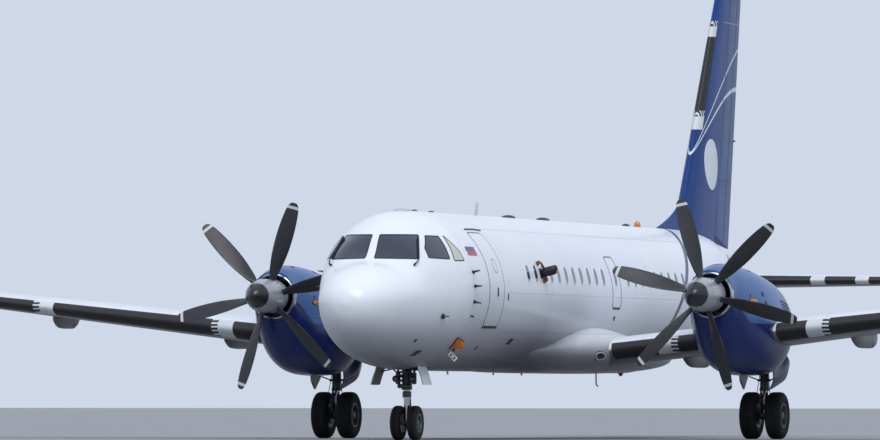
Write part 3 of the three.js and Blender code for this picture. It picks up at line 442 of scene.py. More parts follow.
def hull_paint(name, shade_share):
    """White with painted shade to the belly, a painted shadow low ahead of the wing and the blue course round
    the rear.
    """
    paint = Paint(name, coat=0.15)
    butts, butt_rivets = joints(paint.station, paint.z, BUTTS)
    laps, lap_rivets = joints(paint.z, paint.station, LAPS)
    cabin = paint.station.within(*LAPPED)
    angle = paint.node("Math", {"operation": "ARCTAN2"}, {0: paint.z - STRIPE["middle"], 1: paint.out})
    course = angle * STRIPE["turn"] + angle * angle * STRIPE["bend"] + STRIPE["station"]
    striped = (paint.station - course).near(0, STRIPE["half"], 0.01)
    tone = paint.mix(paint.noise(0.8), WHITE, rgb(226, 230, 238))
    colour = paint.mix(striped, tone, STRIPE_BLUE)
    cap_start, cap_foot = TAIL_CAP["station"], TAIL_CAP["height"]
    cap = paint.station.rise(cap_start, cap_start + 0.005) * paint.z.rise(cap_foot, cap_foot + 0.01)
    colour = paint.mix(cap * 0.8, colour, STRIPE_BLUE)
    shade, patch, grime = (1 - paint.z.rise(*BELLY[key]) for key in ("shade", "patch", "grime"))
    # Painted shade: the white turns grey towards the belly, by this skin's share.
    colour = paint.mix(shade * shade_share, colour, rgb(128, 127, 128))
    # Painted shadow: a dark patch low on the sides ahead of the wing.
    patch = patch * paint.station.within(*BELLY["patch_run"])
    colour = paint.mix(patch * 0.62, colour, rgb(62, 63, 68))
    return skinned(paint, colour, butts + laps * cabin, butt_rivets + lap_rivets * cabin, grime * 0.7)


# The fairing takes half the fuselage's painted shade.
HULL = hull_paint("fuselage_white", 0.9)
FAIRING = hull_paint("fairing_white", 0.45)

# %% [markdown]
# The wing is white above and grey below. Its panels are parted along the spars and at every few ribs, so
# the seams are drawn on the share of the chord and on the span. The tailplane has its own plan.

# %% Wing paint
def plan_paint(name, middle, slope, lead, chord, ribs, spars):
    """Paint for a surface seen in plan. Lead and chord are expressions of the distance out."""
    paint = Paint(name, coat=0.15)
    share = (paint.station - lead(paint)) / chord(paint)
    along_spars = sum((share.near(place, 0.0015, 0.001) for place in spars), 0.0)
    rib_seams, rib_rivets = joints(paint.out, paint.station, ribs)
    beneath = 1 - (paint.z - paint.out * slope - middle).rise(-0.03, 0.0)
    tone = paint.mix(paint.noise(0.9), rgb(232, 236, 241), rgb(214, 219, 226))
    colour = paint.mix(beneath, tone, rgb(126, 127, 128))
    return skinned(paint, colour, along_spars + rib_seams, rib_rivets, beneath * 0.35 + 0.06, 0.36)


WING_KINK = 4.9


def wing_lead(paint):
    return (paint.out - WING_KINK).most(0) * 0.0505 + 6.91


def wing_chord(paint):
    return (paint.out - WING_KINK).most(0) * -0.2031 + 3.42


RIBS = [2.4, 3.1, 5.9, 6.9, 7.9, 8.9, 9.8, 10.9, 12.0, 13.1, 14.2]
TAIL_RIBS = [1.3, 2.4, 3.5, 4.5]
WING = plan_paint("wing_white", 1.47, 0.1095, wing_lead, wing_chord, RIBS, (0.13, 0.4, 0.66))
TAIL = plan_paint("tailplane_white", 3.13, 0.0, lambda paint: paint.out * 0.194 + 19.69,
                  lambda paint: paint.out * -0.2436 + 2.633, TAIL_RIBS, (0.14, 0.42))

# %% [markdown]
# The fin is blue, with two thin pale lines that start together at its leading edge and spread towards the
# back, and a plain pale disc below them. Fin and rudders share the paint, so the lines run on over the
# hinge; the rudders' blue is lighter, a painted highlight for light that falls on them at another angle.
# The nacelles are lighter above a curved break, and nearly navy below it.

# %% Fin and rudder paint
LINES = {"station": 19.17, "height": 5.6, "upper": (0.929, 0.0871, 0.006), "lower": (0.784, 0.1066, 0.01)}
DISC = {"station": 20.19, "height": 5.452, "half": 0.51}
FIN_FOOT = 3.6
HINGE_LINE = {"station": 20.27, "slope": 0.3238, "half": 0.03}
TAB_LINE = {"station": 21.31, "slope": 0.2595, "half": 0.022}
RUDDER_FOOT_LINE = 5.155
FIN_HEAD_LINE = {"height": 8.35, "station": 21.4}
FIN_BUTTS = [4.9, 6.05, 7.2, 8.3]


def fin_paint(name, base):
    paint = Paint(name, specular=0.12)
    back = paint.station - LINES["station"]
    rise = paint.z - LINES["height"]

    def pale_line(slope, bend, spread):
        """A curve from the lines' start that widens as it runs back."""
        return abs(rise - back * slope + back * back * bend) < back * spread + 0.01

    def leaning(line):
        """Distance aft of a line that leans back from the fin's foot."""
        return paint.station - (paint.z - FIN_FOOT) * line["slope"] - line["station"]

    lines = (pale_line(*LINES["upper"]) + pale_line(*LINES["lower"])) * (back > 0.0)
    across, tall = paint.station - DISC["station"], paint.z - DISC["height"]
    disc = (across * across + tall * tall) < DISC["half"] ** 2
    tone = paint.mix(paint.noise(0.7), base, darker(base, 0.18))
    colour = paint.mix((lines + disc).least(1), tone, rgb(222, 228, 236))
    hinge, tab = leaning(HINGE_LINE), leaning(TAB_LINE)
    foot_line = paint.z.near(RUDDER_FOOT_LINE, 0.018) * (hinge > 0.0)
    gaps = hinge.near(0, HINGE_LINE["half"]) + tab.near(0, TAB_LINE["half"]) + foot_line
    colour = paint.mix(gaps.least(1) * 0.75, colour, rgb(16, 20, 34))
    head_line = paint.z.near(FIN_HEAD_LINE["height"], 0.01) * (paint.station > FIN_HEAD_LINE["station"])
    colour = paint.mix(head_line * 0.6, colour, rgb(150, 170, 200))
    butts, rivets = joints(paint.z, paint.station, FIN_BUTTS)
    return skinned(paint, colour, butts, rivets, 0.12 + paint.noise(0.5) * 0.1)


FIN_BLUE = fin_paint("fin_blue", rgb(14, 64, 134))
# A lighter copy of the fin's paint for the rudders: painted light, for their different angle to the light.
LIT_RUDDER_BLUE = fin_paint("rudder_blue_lit", rgb(38, 80, 140))

# %% Nacelle paint
COWL_BREAK = {"height": 2.56, "dip": 0.42, "from": 5.25, "to": 6.1}
COWL_BUTTS = [5.3, 5.52, 6.81, 7.7, 8.5, 9.5]
EXHAUST = {"station": 7.6, "height": 2.5}


def nacelle_paint():
    paint = Paint("nacelle_blue", coat=0.18, specular=0.3)
    dip = paint.station.rise(COWL_BREAK["from"], COWL_BREAK["to"])
    seam_height = dip * -COWL_BREAK["dip"] + COWL_BREAK["height"]
    above = (paint.z - seam_height).rise(-0.005, 0.005)
    colour = paint.mix(above, rgb(10, 36, 100), rgb(58, 98, 154))
    butts, butt_rivets = joints(paint.station, paint.z, COWL_BUTTS)
    edge = (paint.z - seam_height).near(0, 0.005)
    trail = (paint.station - EXHAUST["station"]).rise(0, 0.4)
    soot = trail * paint.z.near(EXHAUST["height"], 0.05, 0.35) * 0.5
    below = (1 - paint.z.rise(1.2, 1.75)) * 0.1
    return skinned(paint, colour, butts + edge, butt_rivets, below + soot + 0.05, 0.26)


BLUE = nacelle_paint()

# %% [markdown]
# The propellers are grey in the middle and dark outside, and each blade's leading edge is worn bright. The
# black boots on the leading edges of the wings and the tail have pale bands where their tubes end.

# %% Propeller and boot paints
SPINNER_RINGS = (4.26, 4.695)


def spinner_paint():
    """Grey with a black tip and two thin joints."""
    paint = Paint("spinner_paint", 0.28, 0.1, 0.4)
    front, rear = SPINNER_RINGS
    tip = 1 - paint.station.rise(front - 0.013, front - 0.007)
    rings = paint.station.near(front, 0.003) + paint.station.near(rear, 0.003)
    tone = paint.mix(paint.noise(4.0), rgb(168, 170, 174), rgb(150, 152, 157))
    colour = paint.mix(tip, paint.mix(rings * 0.6, tone, rgb(60, 62, 66)), rgb(24, 26, 29))
    return paint.finish(colour, paint.noise(5.0) * 0.15 + 0.22, bump=0.0 - rings, depth=0.003, strength=0.4)


SPINNER_GREY = spinner_paint()
PROPELLER_HEIGHT = 2.65
PROPELLER_PLANE = 4.86


def blade_paint():
    """Dark blades with a worn metal guard along the leading edge's outer part, and a pale band at the tip."""
    paint = Paint("blade_paint", 0.42)
    side = paint.out - NACELLE_X
    tall = paint.z - PROPELLER_HEIGHT
    radius = paint.node("Math", {"operation": "SQRT"}, {0: side * side + tall * tall})
    tip = radius.near(1.71, 0.025)
    ahead = 1 - paint.station.rise(PROPELLER_PLANE - 0.12, PROPELLER_PLANE - 0.09)
    guard = ahead * radius.rise(0.8, 0.84)
    colour = paint.mix(paint.noise(6.0), rgb(44, 46, 50), rgb(34, 36, 40))
    colour = paint.mix(guard * 0.7, colour, rgb(120, 122, 126))
    colour = paint.mix(tip, colour, rgb(196, 198, 196))
    return paint.finish(colour, paint.noise(8.0) * 0.2 + 0.32, guard * 0.6, bump=paint.noise(90), depth=0.001)


BLADE = blade_paint()


def boot_paint(name, bands, comb, vertical=False):
    """Black rubber with pale bands where the tubes end. Comb is the width of the teeth beside each band."""
    paint = Paint(name, 0.5)
    run = paint.z if vertical else paint.out
    cross = paint.station if vertical else paint.z

    def band(low, high):
        return run.within((low, low + 0.004), (high, high + 0.004))

    banded = sum((band(low, high) for low, high in bands), 0.0)
    beside = sum((band(high, high + comb) for _, high in bands), 0.0)
    teeth = cross.repeat(0.07) < 0.016
    worn = paint.noise(14, 4) * 0.25
    pale = paint.mix(worn, rgb(214, 217, 220), rgb(150, 152, 156))
    black = paint.mix(worn, rgb(23, 24, 27), rgb(46, 46, 48))
    colour = paint.mix((banded + beside * teeth).least(1), black, pale)
    ribs = run.repeat(0.035) * 20
    return paint.finish(colour, worn + 0.42, bump=ribs + paint.noise(50) * 0.3, depth=0.002, strength=0.3)


WING_BOOT = boot_paint("wing_boot", [(2.72, 2.99), (5.56, 5.86), (9.2, 9.48), (12.7, 12.98)], 0.13)
TAIL_BOOT = boot_paint("tail_boot", [(2.24, 2.52), (3.12, 3.38)], 0.0)
FIN_BOOT = boot_paint("fin_boot", [(6.135, 6.40), (8.036, 8.25)], 0.12, vertical=True)
print("materials:", len(bpy.data.materials))

# %% [markdown]
# The fuselage is a round tube of one width that narrows to the radome in front and to the tail cone behind.
# A table of sections holds each one's crown, keel, half width and widest height, and a smooth curve runs
# through them all. It is cut into the same barrels that the solids have, so each barrel stays a piece.

# %% Body sections
def blend(rows, steps):
    """Rows of numbers joined by a smooth curve through them, with steps sections for each row."""
    rows = np.asarray(rows, float)
    last = len(rows) - 1
    sections = []
    for row in range(last):
        before, start, end, after = (rows[min(max(at, 0), last)] for at in (row - 1, row, row + 1, row + 2))
        slope_in, slope_out = (end - before) / 2, (after - start) / 2
        for share in np.arange(steps) / steps:
            bend = 3 * (end - start) - 2 * slope_in - slope_out
            close = 2 * (start - end) + slope_in + slope_out
            sections.append(start + slope_in * share + bend * share ** 2 + close * share ** 3)
    sections.append(rows[-1])
    return np.array(sections)


def body_ring(section, x=0.0):
    """Two half ellipses on one width, from station, crown, keel, half width, widest height and squareness."""
    station, top, bottom, half, widest = section[:5]
    power = 2 / (section[5] if len(section) > 5 else 2.0)
    turn = circle(BODY_SIDES)
    across = np.sign(np.cos(turn)) * np.abs(np.cos(turn)) ** power * half
    tall = np.where(np.sin(turn) > 0, top - widest, widest - bottom)
    height = widest + np.sign(np.sin(turn)) * np.abs(np.sin(turn)) ** power * tall
    return np.stack([x + across, np.full(BODY_SIDES, station + AXLE_Y), height], axis=1)


def barrel(name, sections, start, end, x=0.0):
    """The stretch of a body between two stations, closed at both ends."""
    chosen = [section for section in sections if start - 1e-6 < section[0] < end + 1e-6]
    return loft(name, [body_ring(section, x) for section in chosen])


BODY_SIDES = 96
CROWN = 4.106
BODY_WIDEST = 2.676
FULL = (CROWN, 1.246, 1.43, BODY_WIDEST)
NOSE_SECTIONS = [
    (-3.68, 2.45, 2.35, 0.06, 2.4),
    (-3.61, 2.64, 2.11, 0.27, 2.405),
    (-3.42, 2.81, 1.88, 0.47, 2.42),
    (-3.05, 2.985, 1.65, 0.68, 2.45),
    (-2.7, 3.095, 1.52, 0.8, 2.48),
    (-2.25, 3.225, 1.42, 0.935, 2.52),
    (-1.86, 3.64, 1.36, 1.055, 2.56),
    (-1.4, 3.9, 1.31, 1.19, 2.6),
    (-0.8, 4.06, 1.27, 1.33, 2.645),
    (-0.1, CROWN, 1.25, 1.415, BODY_WIDEST),
    (1.6, *FULL),
]
TAIL_SECTIONS = [
    (14.0, *FULL),
    (15.4, 4.106, 1.37, 1.41, 2.74),
    (17.2, 4.106, 1.79, 1.25, 2.91),
    (18.3, 4.092, 2.06, 1.04, 3.01),
    (19.3, 4.045, 2.33, 0.79, 3.11),
    (20.3, 3.965, 2.59, 0.5, 3.2),
    (21.2, 3.845, 2.82, 0.25, 3.3),
    (22.08, 3.67, 3.07, 0.08, 3.33),
]
FINE = 8
RADOME_JOINT = -3.05
CABIN_JOINT = 1.6
CABIN_REAR = 8.0
TAIL_JOINT = 17.2
body_sections = np.vstack([blend(NOSE_SECTIONS, FINE), [(CABIN_REAR, *FULL)], blend(TAIL_SECTIONS, FINE)])


# %% Fuselage barrels
BAY = {"half": 0.4, "front": -0.62, "rear": 0.2, "roof": 1.64, "floor": 0.8}
BARRELS = [
    ("radome", NOSE_SECTIONS[0][0], RADOME_JOINT),
    ("forward_fuselage", RADOME_JOINT, CABIN_JOINT),
    ("cabin_front", CABIN_JOINT, CABIN_REAR),
    ("cabin_rear", CABIN_REAR, TAIL_SECTIONS[0][0]),
    ("rear_fuselage", TAIL_SECTIONS[0][0], TAIL_JOINT),
    ("tail_cone", TAIL_JOINT, TAIL_SECTIONS[-1][0]),
]
for name, start, end in BARRELS:
    skin = barrel(name + "_skin", body_sections, start, end)
    if name == "forward_fuselage":
        low = (-BAY["half"], BAY["front"] + AXLE_Y, BAY["floor"])
        carve(skin, block(low, (BAY["half"], BAY["rear"] + AXLE_Y, BAY["roof"])))
    settle(skin, *ON_WHITE, HULL, name)
    print(name, triangles(skin), "triangles")

# %% [markdown]
# Under the wing a fairing wraps the belly. It is a loft of its own, squarer than a round tube, that grows
# out of the fuselage and hides the joint between wing and body. Its own table gives its sections.

# %% Belly fairing
FAIRING_SECTIONS = [
    (4.6, 1.7, 1.45, 0.93, 1.61, 2.0),
    (5.3, 1.85, 1.33, 1.13, 1.64, 2.2),
    (6.1, 2.02, 1.24, 1.56, 1.64, 2.3),
    (7.0, 2.15, 1.228, 1.82, 1.64, 2.4),
    (7.9, 2.19, 1.225, 1.88, 1.64, 2.4),
    (9.0, 2.1, 1.225, 1.9, 1.6, 2.4),
    (10.0, 1.96, 1.225, 1.88, 1.57, 2.4),
    (11.0, 1.86, 1.228, 1.82, 1.54, 2.4),
    (12.0, 1.76, 1.25, 1.6, 1.52, 2.3),
    (13.0, 1.66, 1.3, 1.15, 1.5, 2.2),
    (13.9, 1.56, 1.4, 0.78, 1.48, 2.0),
]
fairing = loft("belly_fairing_skin", [body_ring(section) for section in blend(FAIRING_SECTIONS, FINE)])
settle(fairing, *ON_WHITE, FAIRING, "belly_fairing")

# %% [markdown]
# Each nacelle holds an engine in front and the main landing gear behind. The cowling ends close behind the
# spinner in a round lip with a ring-shaped intake, and the gear part has a well cut in its underside.

# %% Nacelles
LIP = 5.23
FIREWALL = 6.8
NACELLE_SECTIONS = [
    (LIP, 3.11, 2.23, 0.425, 2.68, 2.0),
    (5.5, 3.19, 1.8, 0.465, 2.62, 2.0),
    (6.0, 3.235, 1.44, 0.59, 2.45, 2.1),
    (FIREWALL, 3.18, 1.235, 0.74, 2.25, 2.3),
    (7.8, 3.0, 1.18, 0.775, 2.03, 2.8),
    (8.5, 2.83, 1.225, 0.7, 2.09, 2.4),
    (9.2, 2.61, 1.38, 0.53, 2.11, 2.1),
    (10.0, 2.33, 1.62, 0.27, 2.0, 2.0),
    (10.6, 2.11, 1.8, 0.09, 1.93, 2.0),
]
INTAKE = {"outer": 0.375, "core": 0.285, "depth": 0.42}
WELL = {"half": 0.33, "front": 8.54, "rear": 9.48, "roof": 1.64, "floor": 0.9}
nacelle_sections = blend(NACELLE_SECTIONS, FINE)


def hub_point(station, sign=1):
    return (sign * NACELLE_X, station + AXLE_Y, PROPELLER_HEIGHT)


AFT = (0, 1, 0)
cowl = barrel("cowling_port_skin", nacelle_sections, LIP, FIREWALL, NACELLE_X)
ring_cut = turned("ring", [(-0.05, INTAKE["outer"]), (INTAKE["depth"], INTAKE["outer"])], hub_point(LIP), AFT)
carve(ring_cut, turned("core", [(-0.06, INTAKE["core"]), (0.5, INTAKE["core"])], hub_point(LIP), AFT))
carve(cowl, ring_cut)
gear_part = barrel("gear_nacelle_port_skin", nacelle_sections, FIREWALL, NACELLE_SECTIONS[-1][0], NACELLE_X)
well_low = (NACELLE_X - WELL["half"], WELL["front"] + AXLE_Y, WELL["floor"])
carve(gear_part, block(well_low, (NACELLE_X + WELL["half"], WELL["rear"] + AXLE_Y, WELL["roof"])))
twins(cowl, "cowling", *ON_BLUE, BLUE)
twins(gear_part, "gear_nacelle", *ON_BLUE, BLUE)

# %% [markdown]
# What repeats is a rule and not a list, so Geometry Nodes place it: windows at a pitch, blades and bolts
# round an axis. A small class builds such a tree by calls, with named inputs for its numbers and its piece.

# %% Geometry Nodes by calls
class Recipe:
    """A Geometry Nodes tree that is built by calls, with named inputs for its sizes."""

    def __init__(self, name, **inputs):
        self.tree = bpy.data.node_groups.new(name, "GeometryNodeTree")
        kinds = {int: "NodeSocketInt", float: "NodeSocketFloat", Vector: "NodeSocketVector"}
        kinds[bpy.types.Object] = "NodeSocketObject"
        self.values = {}
        self.tree.interface.new_socket("Geometry", in_out="INPUT", socket_type="NodeSocketGeometry")
        self.tree.interface.new_socket("Geometry", in_out="OUTPUT", socket_type="NodeSocketGeometry")
        for key, value in inputs.items():
            socket = next(kind for known, kind in kinds.items() if isinstance(value, known))
            made = self.tree.interface.new_socket(key, in_out="INPUT", socket_type=socket)
            self.values[made.identifier] = value
        self.entry = self.tree.nodes.new("NodeGroupInput").outputs

    def __getitem__(self, name):
        return self.entry[name]

    def node(self, kind, settings=None, output=0, **inputs):
        made = self.tree.nodes.new(kind)
        for key, value in (settings or {}).items():
            setattr(made, key, value)
        for key, value in inputs.items():
            socket = made.inputs[int(key[1:]) if key[1:].isdigit() else key.replace("_", " ")]
            if isinstance(value, bpy.types.NodeSocket):
                self.tree.links.new(value, socket)
            else:
                socket.default_value = value
        return made.outputs[output]

    def build(self, name, instances, material):
        """Ends the tree, runs it on an empty mesh and returns the plain mesh object that it makes."""
        real = self.node("GeometryNodeRealizeInstances", Geometry=instances)
        painted = self.node("GeometryNodeSetMaterial", Geometry=real, Material=material)
        ending = self.tree.nodes.new("NodeGroupOutput")
        self.tree.links.new(painted, ending.inputs[0])
        holder = mesh_object(name, [], [])
        step = holder.modifiers.new("recipe", "NODES")
        step.node_group = self.tree
        for identifier, value in self.values.items():
            step[identifier] = value
        return evaluated(holder)

# %% [markdown]
# Windows, seams, plates and lamps lie on a curved skin. Each is drawn as a flat outline in a plain view of
# the aircraft, from the side, above, below or in front, and a ray from each point finds the skin, as if a
# template were laid over it. What is laid is a closed solid that follows the curve.

# %% Laying outlines on a skin
class Shell:
    """Skins that fittings are laid on."""

    def __init__(self, *skins):
        self.tree = BVHTree.FromPolygons(*gathered(skins))

    def meet(self, view, a, b, lift=0.0):
        """Where the view's ray through a point of its plane meets the skin, raised above it."""
        start, look = (Vector(value) for value in view(a, b))
        place, normal, _, _ = self.tree.ray_cast(start, look)
        if place is None:
            raise ValueError(f"nothing to lay {a:.3f}, {b:.3f} on")
        return place + (normal if normal.dot(look) < 0 else -normal) * lift


def from_side(start, sign=1):
    """A view of the stations and heights. Sign is 1 where it looks towards starboard."""
    return lambda station, height: ((start, station + AXLE_Y, height), (-sign, 0, 0))


def from_front(across, height):
    return (across, AXLE_Y - 8, height), (0, 1, 0)


def from_above(across, station):
    return (across, station + AXLE_Y, 12), (0, 0, -1)


def from_below(across, station):
    return (across, station + AXLE_Y, 0.9), (0, 0, 1)


PORT = from_side(6)


def rounded(corners, radius, steps=5, spacing=0.12):
    """A polygon with rounded corners, and points along its straight edges."""
    corners = [np.array(corner, float) for corner in corners]
    outline = []
    for at, corner in enumerate(corners):
        before, after = corners[at - 1], corners[(at + 1) % len(corners)]
        start = corner + (before - corner) / np.linalg.norm(before - corner) * radius
        end = corner + (after - corner) / np.linalg.norm(after - corner) * radius
        turn = np.linspace(0, 1, steps + 1)[:, None]
        outline += list((1 - turn) ** 2 * start + 2 * turn * (1 - turn) * corner + turn ** 2 * end)
        following = after + (corner - after) / np.linalg.norm(corner - after) * radius
        pieces = max(1, int(np.linalg.norm(following - end) / spacing))
        outline += [end + (following - end) * piece / pieces for piece in range(1, pieces)]
    return np.array(outline)


def oval(a, b, half_a, half_b, power=2.4, count=28):
    turn = circle(count)
    wave = [np.sign(w) * np.abs(w) ** (2 / power) for w in (np.cos(turn), np.sin(turn))]
    return np.stack([a + wave[0] * half_a, b + wave[1] * half_b], axis=1)


def box(front, rear, foot, head):
    return [(front, head), (front, foot), (rear, foot), (rear, head)]


def inset(outline, width):
    """The outline moved inwards, or outwards where width is negative."""
    before, after = np.roll(outline, 1, axis=0), np.roll(outline, -1, axis=0)
    run = after - before
    area = np.sum(outline[:, 0] * after[:, 1] - after[:, 0] * outline[:, 1])
    across = np.stack([-run[:, 1], run[:, 0]], axis=1) * np.sign(area)
    return outline + across / np.linalg.norm(across, axis=1)[:, None] * width


def laid(shell, view, edges):
    """Rings of points on the skin, from pairs of an outline and its height above the skin."""
    return [[shell.meet(view, a, b, height) for a, b in outline] for outline, height in edges]


SUNK = 0.012
STRIP_SUNK = 0.01
STRIP_STEP = 0.1


def plate(shell, view, outline, lift=0.004, rings=4):
    """A closed plate inside an outline that follows the skin."""
    outline = np.asarray(outline, float)
    middle = outline.mean(axis=0)
    scales = [1 - step / rings for step in range(rings)] + [0.03]
    edges = [(middle + (outline - middle) * scale, lift) for scale in scales]
    return loft("plate", laid(shell, view, [(outline, -SUNK), *edges]))


def rim(shell, view, outline, width, lift=0.006):
    """A closed frame along an outline, reaching inwards by its width."""
    outline = np.asarray(outline, float)
    inner_edge = inset(outline, width)
    edges = [(outline, -SUNK), (outline, lift), (inner_edge, lift), (inner_edge, -SUNK)]
    return loft("rim", laid(shell, view, edges), hoop=True)


def strip(shell, view, path, width, lift=0.004):
    """A narrow band along an open line."""
    path = [np.array(point, float) for point in path]
    points = []
    for start, end in zip(path, path[1:]):
        pieces = max(1, int(np.linalg.norm(end - start) / STRIP_STEP))
        points += [start + (end - start) * piece / pieces for piece in range(pieces)]
    points = np.array(points + [path[-1]])
    run = np.gradient(points, axis=0)
    across = np.stack([-run[:, 1], run[:, 0]], axis=1) / np.linalg.norm(run, axis=1)[:, None] * width / 2
    left, right = points + across, points - across
    rows = laid(shell, view, [(left, -STRIP_SUNK), (left, lift), (right, lift), (right, -STRIP_SUNK)])
    return loft("strip", list(zip(*rows)))


HULL_SHELL = Shell(*(bpy.data.objects[name + "_skin"] for name, _, _ in BARRELS))
FAIRING_SHELL = Shell(fairing)
HULL_SIDE = (HULL_SHELL, PORT)


def hull_point(station, height, lift=0.0):
    return HULL_SHELL.meet(PORT, station, height, lift)


# %% [markdown]
# The cockpit has two large panes in front and two smaller ones on each side, all glued in thin dark seals,
# with pale posts between them. The rearmost one has its shade drawn. A wiper is parked along each front pane.

# %% Cockpit windows
PANE_SEAL = 0.014
FRONT_PANE = [(0.07, 3.64), (0.66, 3.64), (0.805, 3.213), (0.087, 3.222)]
SIDE_PANE = [(-1.36, 3.628), (-1.03, 3.624), (-1.12, 3.222), (-1.69, 3.236), (-1.63, 3.4)]
REAR_PANE = [(-0.87, 3.64), (-0.66, 3.36), (-0.635, 3.204), (-0.985, 3.195)]
PANES = [(from_front, FRONT_PANE, COCKPIT), (PORT, SIDE_PANE, COCKPIT), (PORT, REAR_PANE, SHADE)]
for number, (view, corners, glass) in enumerate(PANES):
    outline = rounded(corners, 0.02, 4, 0.06)
    pane = plate(HULL_SHELL, view, outline, 0.004, rings=6)
    pair(pane, f"cockpit_pane_{number}", *ON_WHITE, glass)
    seal = rim(HULL_SHELL, view, inset(outline, -PANE_SEAL * 0.6), PANE_SEAL, 0.008)
    pair(seal, f"cockpit_seal_{number}", *ON_WHITE, DARK)

WIPER = {"pivot": (0.765, 3.1), "elbow": (0.79, 3.2), "top": (0.68, 3.57), "stand": 0.045}
WIPER_BLADE = {"foot": np.array((0.8, 3.215)), "run": np.array((-0.125, 0.37)), "stand": 0.022}


def on_pane(key, stand):
    return HULL_SHELL.meet(from_front, *WIPER[key], stand)


arm_points = [on_pane(key, WIPER["stand"]) for key in ("pivot", "elbow", "top")]
blade_line = [WIPER_BLADE["foot"] + WIPER_BLADE["run"] * share for share in np.linspace(0, 1, 5)]
blade_points = [HULL_SHELL.meet(from_front, *point, WIPER_BLADE["stand"]) for point in blade_line]
wiper = merged("wiper", tube(arm_points, 0.011), tube(blade_points, 0.013, 8),
               rod(on_pane("pivot", -0.01), on_pane("pivot", 0.06), 0.022, 0.017))
pair(wiper, "wiper", *ON_WHITE, DARK)

# %% [markdown]
# The cabin windows are rounded upright ovals, one to each frame of the body, with a thin pale frame and the
# dark glass set in it. They repeat along a body of one section, so Geometry Nodes set one out at a pitch.

# %% Cabin windows
WINDOW = {"height": 3.02, "half_wide": 0.118, "half_tall": 0.178, "pitch": 0.5, "front": 2.97, "rear": 9.66}
EXIT = {"front": 8.5, "rear": 9.09, "foot": 2.45, "head": 3.42, "window": 8.795}
first_window = oval(WINDOW["front"], WINDOW["height"], WINDOW["half_wide"], WINDOW["half_tall"])
window_glass = plate(*HULL_SIDE, inset(first_window, 0.02), 0.002, rings=3)
window_frame = rim(*HULL_SIDE, inset(first_window, -0.012), 0.034, 0.005)


def at_pitch(name, source, runs, material):
    """Copies of an object along the body. Each run is the first copy's shift and their number."""
    pieces = []
    for number, (shift, count) in enumerate(runs):
        recipe = Recipe(f"{name}_row_{number}", Count=count, Pitch=Vector((0, WINDOW["pitch"], 0)),
                        Shift=Vector((0, shift, 0)), Piece=source)
        points = recipe.node("GeometryNodeMeshLine", Count=recipe["Count"], Offset=recipe["Pitch"],
                             Start_Location=recipe["Shift"])
        copy = recipe.node("GeometryNodeObjectInfo", Object=recipe["Piece"], output=4)
        placed = recipe.node("GeometryNodeInstanceOnPoints", Points=points, Instance=copy)
        pieces.append(recipe.build(f"{name}_{number}", placed, material))
    bpy.data.objects.remove(source)
    return merged(name, *pieces)


ROWS = [(0.0, 11), (EXIT["window"] - WINDOW["front"], 1), (WINDOW["rear"] - WINDOW["front"], 9)]
pair(at_pitch("window_glass", window_glass, ROWS, GLASS), "cabin_windows", *ON_WHITE, GLASS)
pair(at_pitch("window_frame", window_frame, ROWS, HULL), "window_frames", *ON_WHITE, HULL)

# %% [markdown]
# Doors and exits show as thin dark gaps with rounded corners. The entry door is on the port side, with a
# small window, a handle and a rain gutter over it; the service door faces it. An exit opens over each wing.

# %% Doors and exits
GAP = 0.016
GAP_LIFT = 0.0045
STARBOARD = from_side(-6, -1)
ENTRY = rounded(box(0.41, 1.32, 2.036, 3.73), 0.13, 5, 0.1)
EXIT_OUTLINE = rounded(box(EXIT["front"], EXIT["rear"], EXIT["foot"], EXIT["head"]), 0.1, 5, 0.1)
HOLD = rounded(box(12.95, 13.95, 1.75, 2.62), 0.1, 5, 0.1)
HANDLE = rounded(box(0.89, 0.95, 2.58, 2.74), 0.02)
LATCH = rounded([(1.55, 2.64), (1.57, 2.52), (1.61, 2.52), (1.59, 2.64)], 0.012)
EXIT_HANDLE = rounded([(8.74, 2.3), (8.76, 2.22), (8.84, 2.22), (8.82, 2.3)], 0.01)
PORTHOLE = oval(0.93, 3.13, 0.1, 0.115)
PORTHOLE_EDGE = oval(0.93, 3.13, 0.115, 0.13)
settle(plate(*HULL_SIDE, inset(ENTRY, GAP * 0.6), 0.003, rings=8), *ON_WHITE, HULL, "entry_door")
gaps = [rim(*HULL_SIDE, ENTRY, GAP, GAP_LIFT),
        strip(*HULL_SIDE, [(0.5, 3.775), (1.0, 3.785), (1.5, 3.775)], 0.016, 0.016),
        strip(*HULL_SIDE, [(0.42, 2.025), (1.31, 2.025)], 0.03, 0.012)]
settle(merged("entry_door_gap", *gaps), *ON_WHITE, FITTING)
settle(plate(*HULL_SIDE, PORTHOLE, 0.005), *ON_WHITE, HULL)
settle(rim(*HULL_SIDE, PORTHOLE_EDGE, 0.016, 0.006), *ON_WHITE, PALE_SEAL)
handles = [plate(*HULL_SIDE, HANDLE, 0.012), plate(*HULL_SIDE, LATCH, 0.01)]
settle(merged("door_handle", *handles), *ON_WHITE, FITTING)
service = [rim(HULL_SHELL, STARBOARD, inset(ENTRY, 0.06), GAP, GAP_LIFT),
           rim(HULL_SHELL, STARBOARD, PORTHOLE_EDGE, 0.02, 0.008),
           plate(HULL_SHELL, STARBOARD, HANDLE, 0.012)]
settle(merged("service_door_gap", *service), *ON_WHITE, FITTING)
over_wing = [rim(*HULL_SIDE, EXIT_OUTLINE, GAP, GAP_LIFT),
             strip(*HULL_SIDE, [(8.56, 2.44), (9.03, 2.44)], 0.03, 0.008),
             plate(*HULL_SIDE, EXIT_HANDLE, 0.01)]
pair(merged("exit_gap", *over_wing), "exit_gap", *ON_WHITE, FITTING)
settle(rim(HULL_SHELL, STARBOARD, HOLD, GAP, GAP_LIFT), *ON_WHITE, FITTING)

# %% [markdown]
# Small things stand on the skin or are let into it. Three air-data probes and a vane stick out beside the
# nose, and a few slots open in the lower hull. Each is a bar, a plate or a wedge of its own.

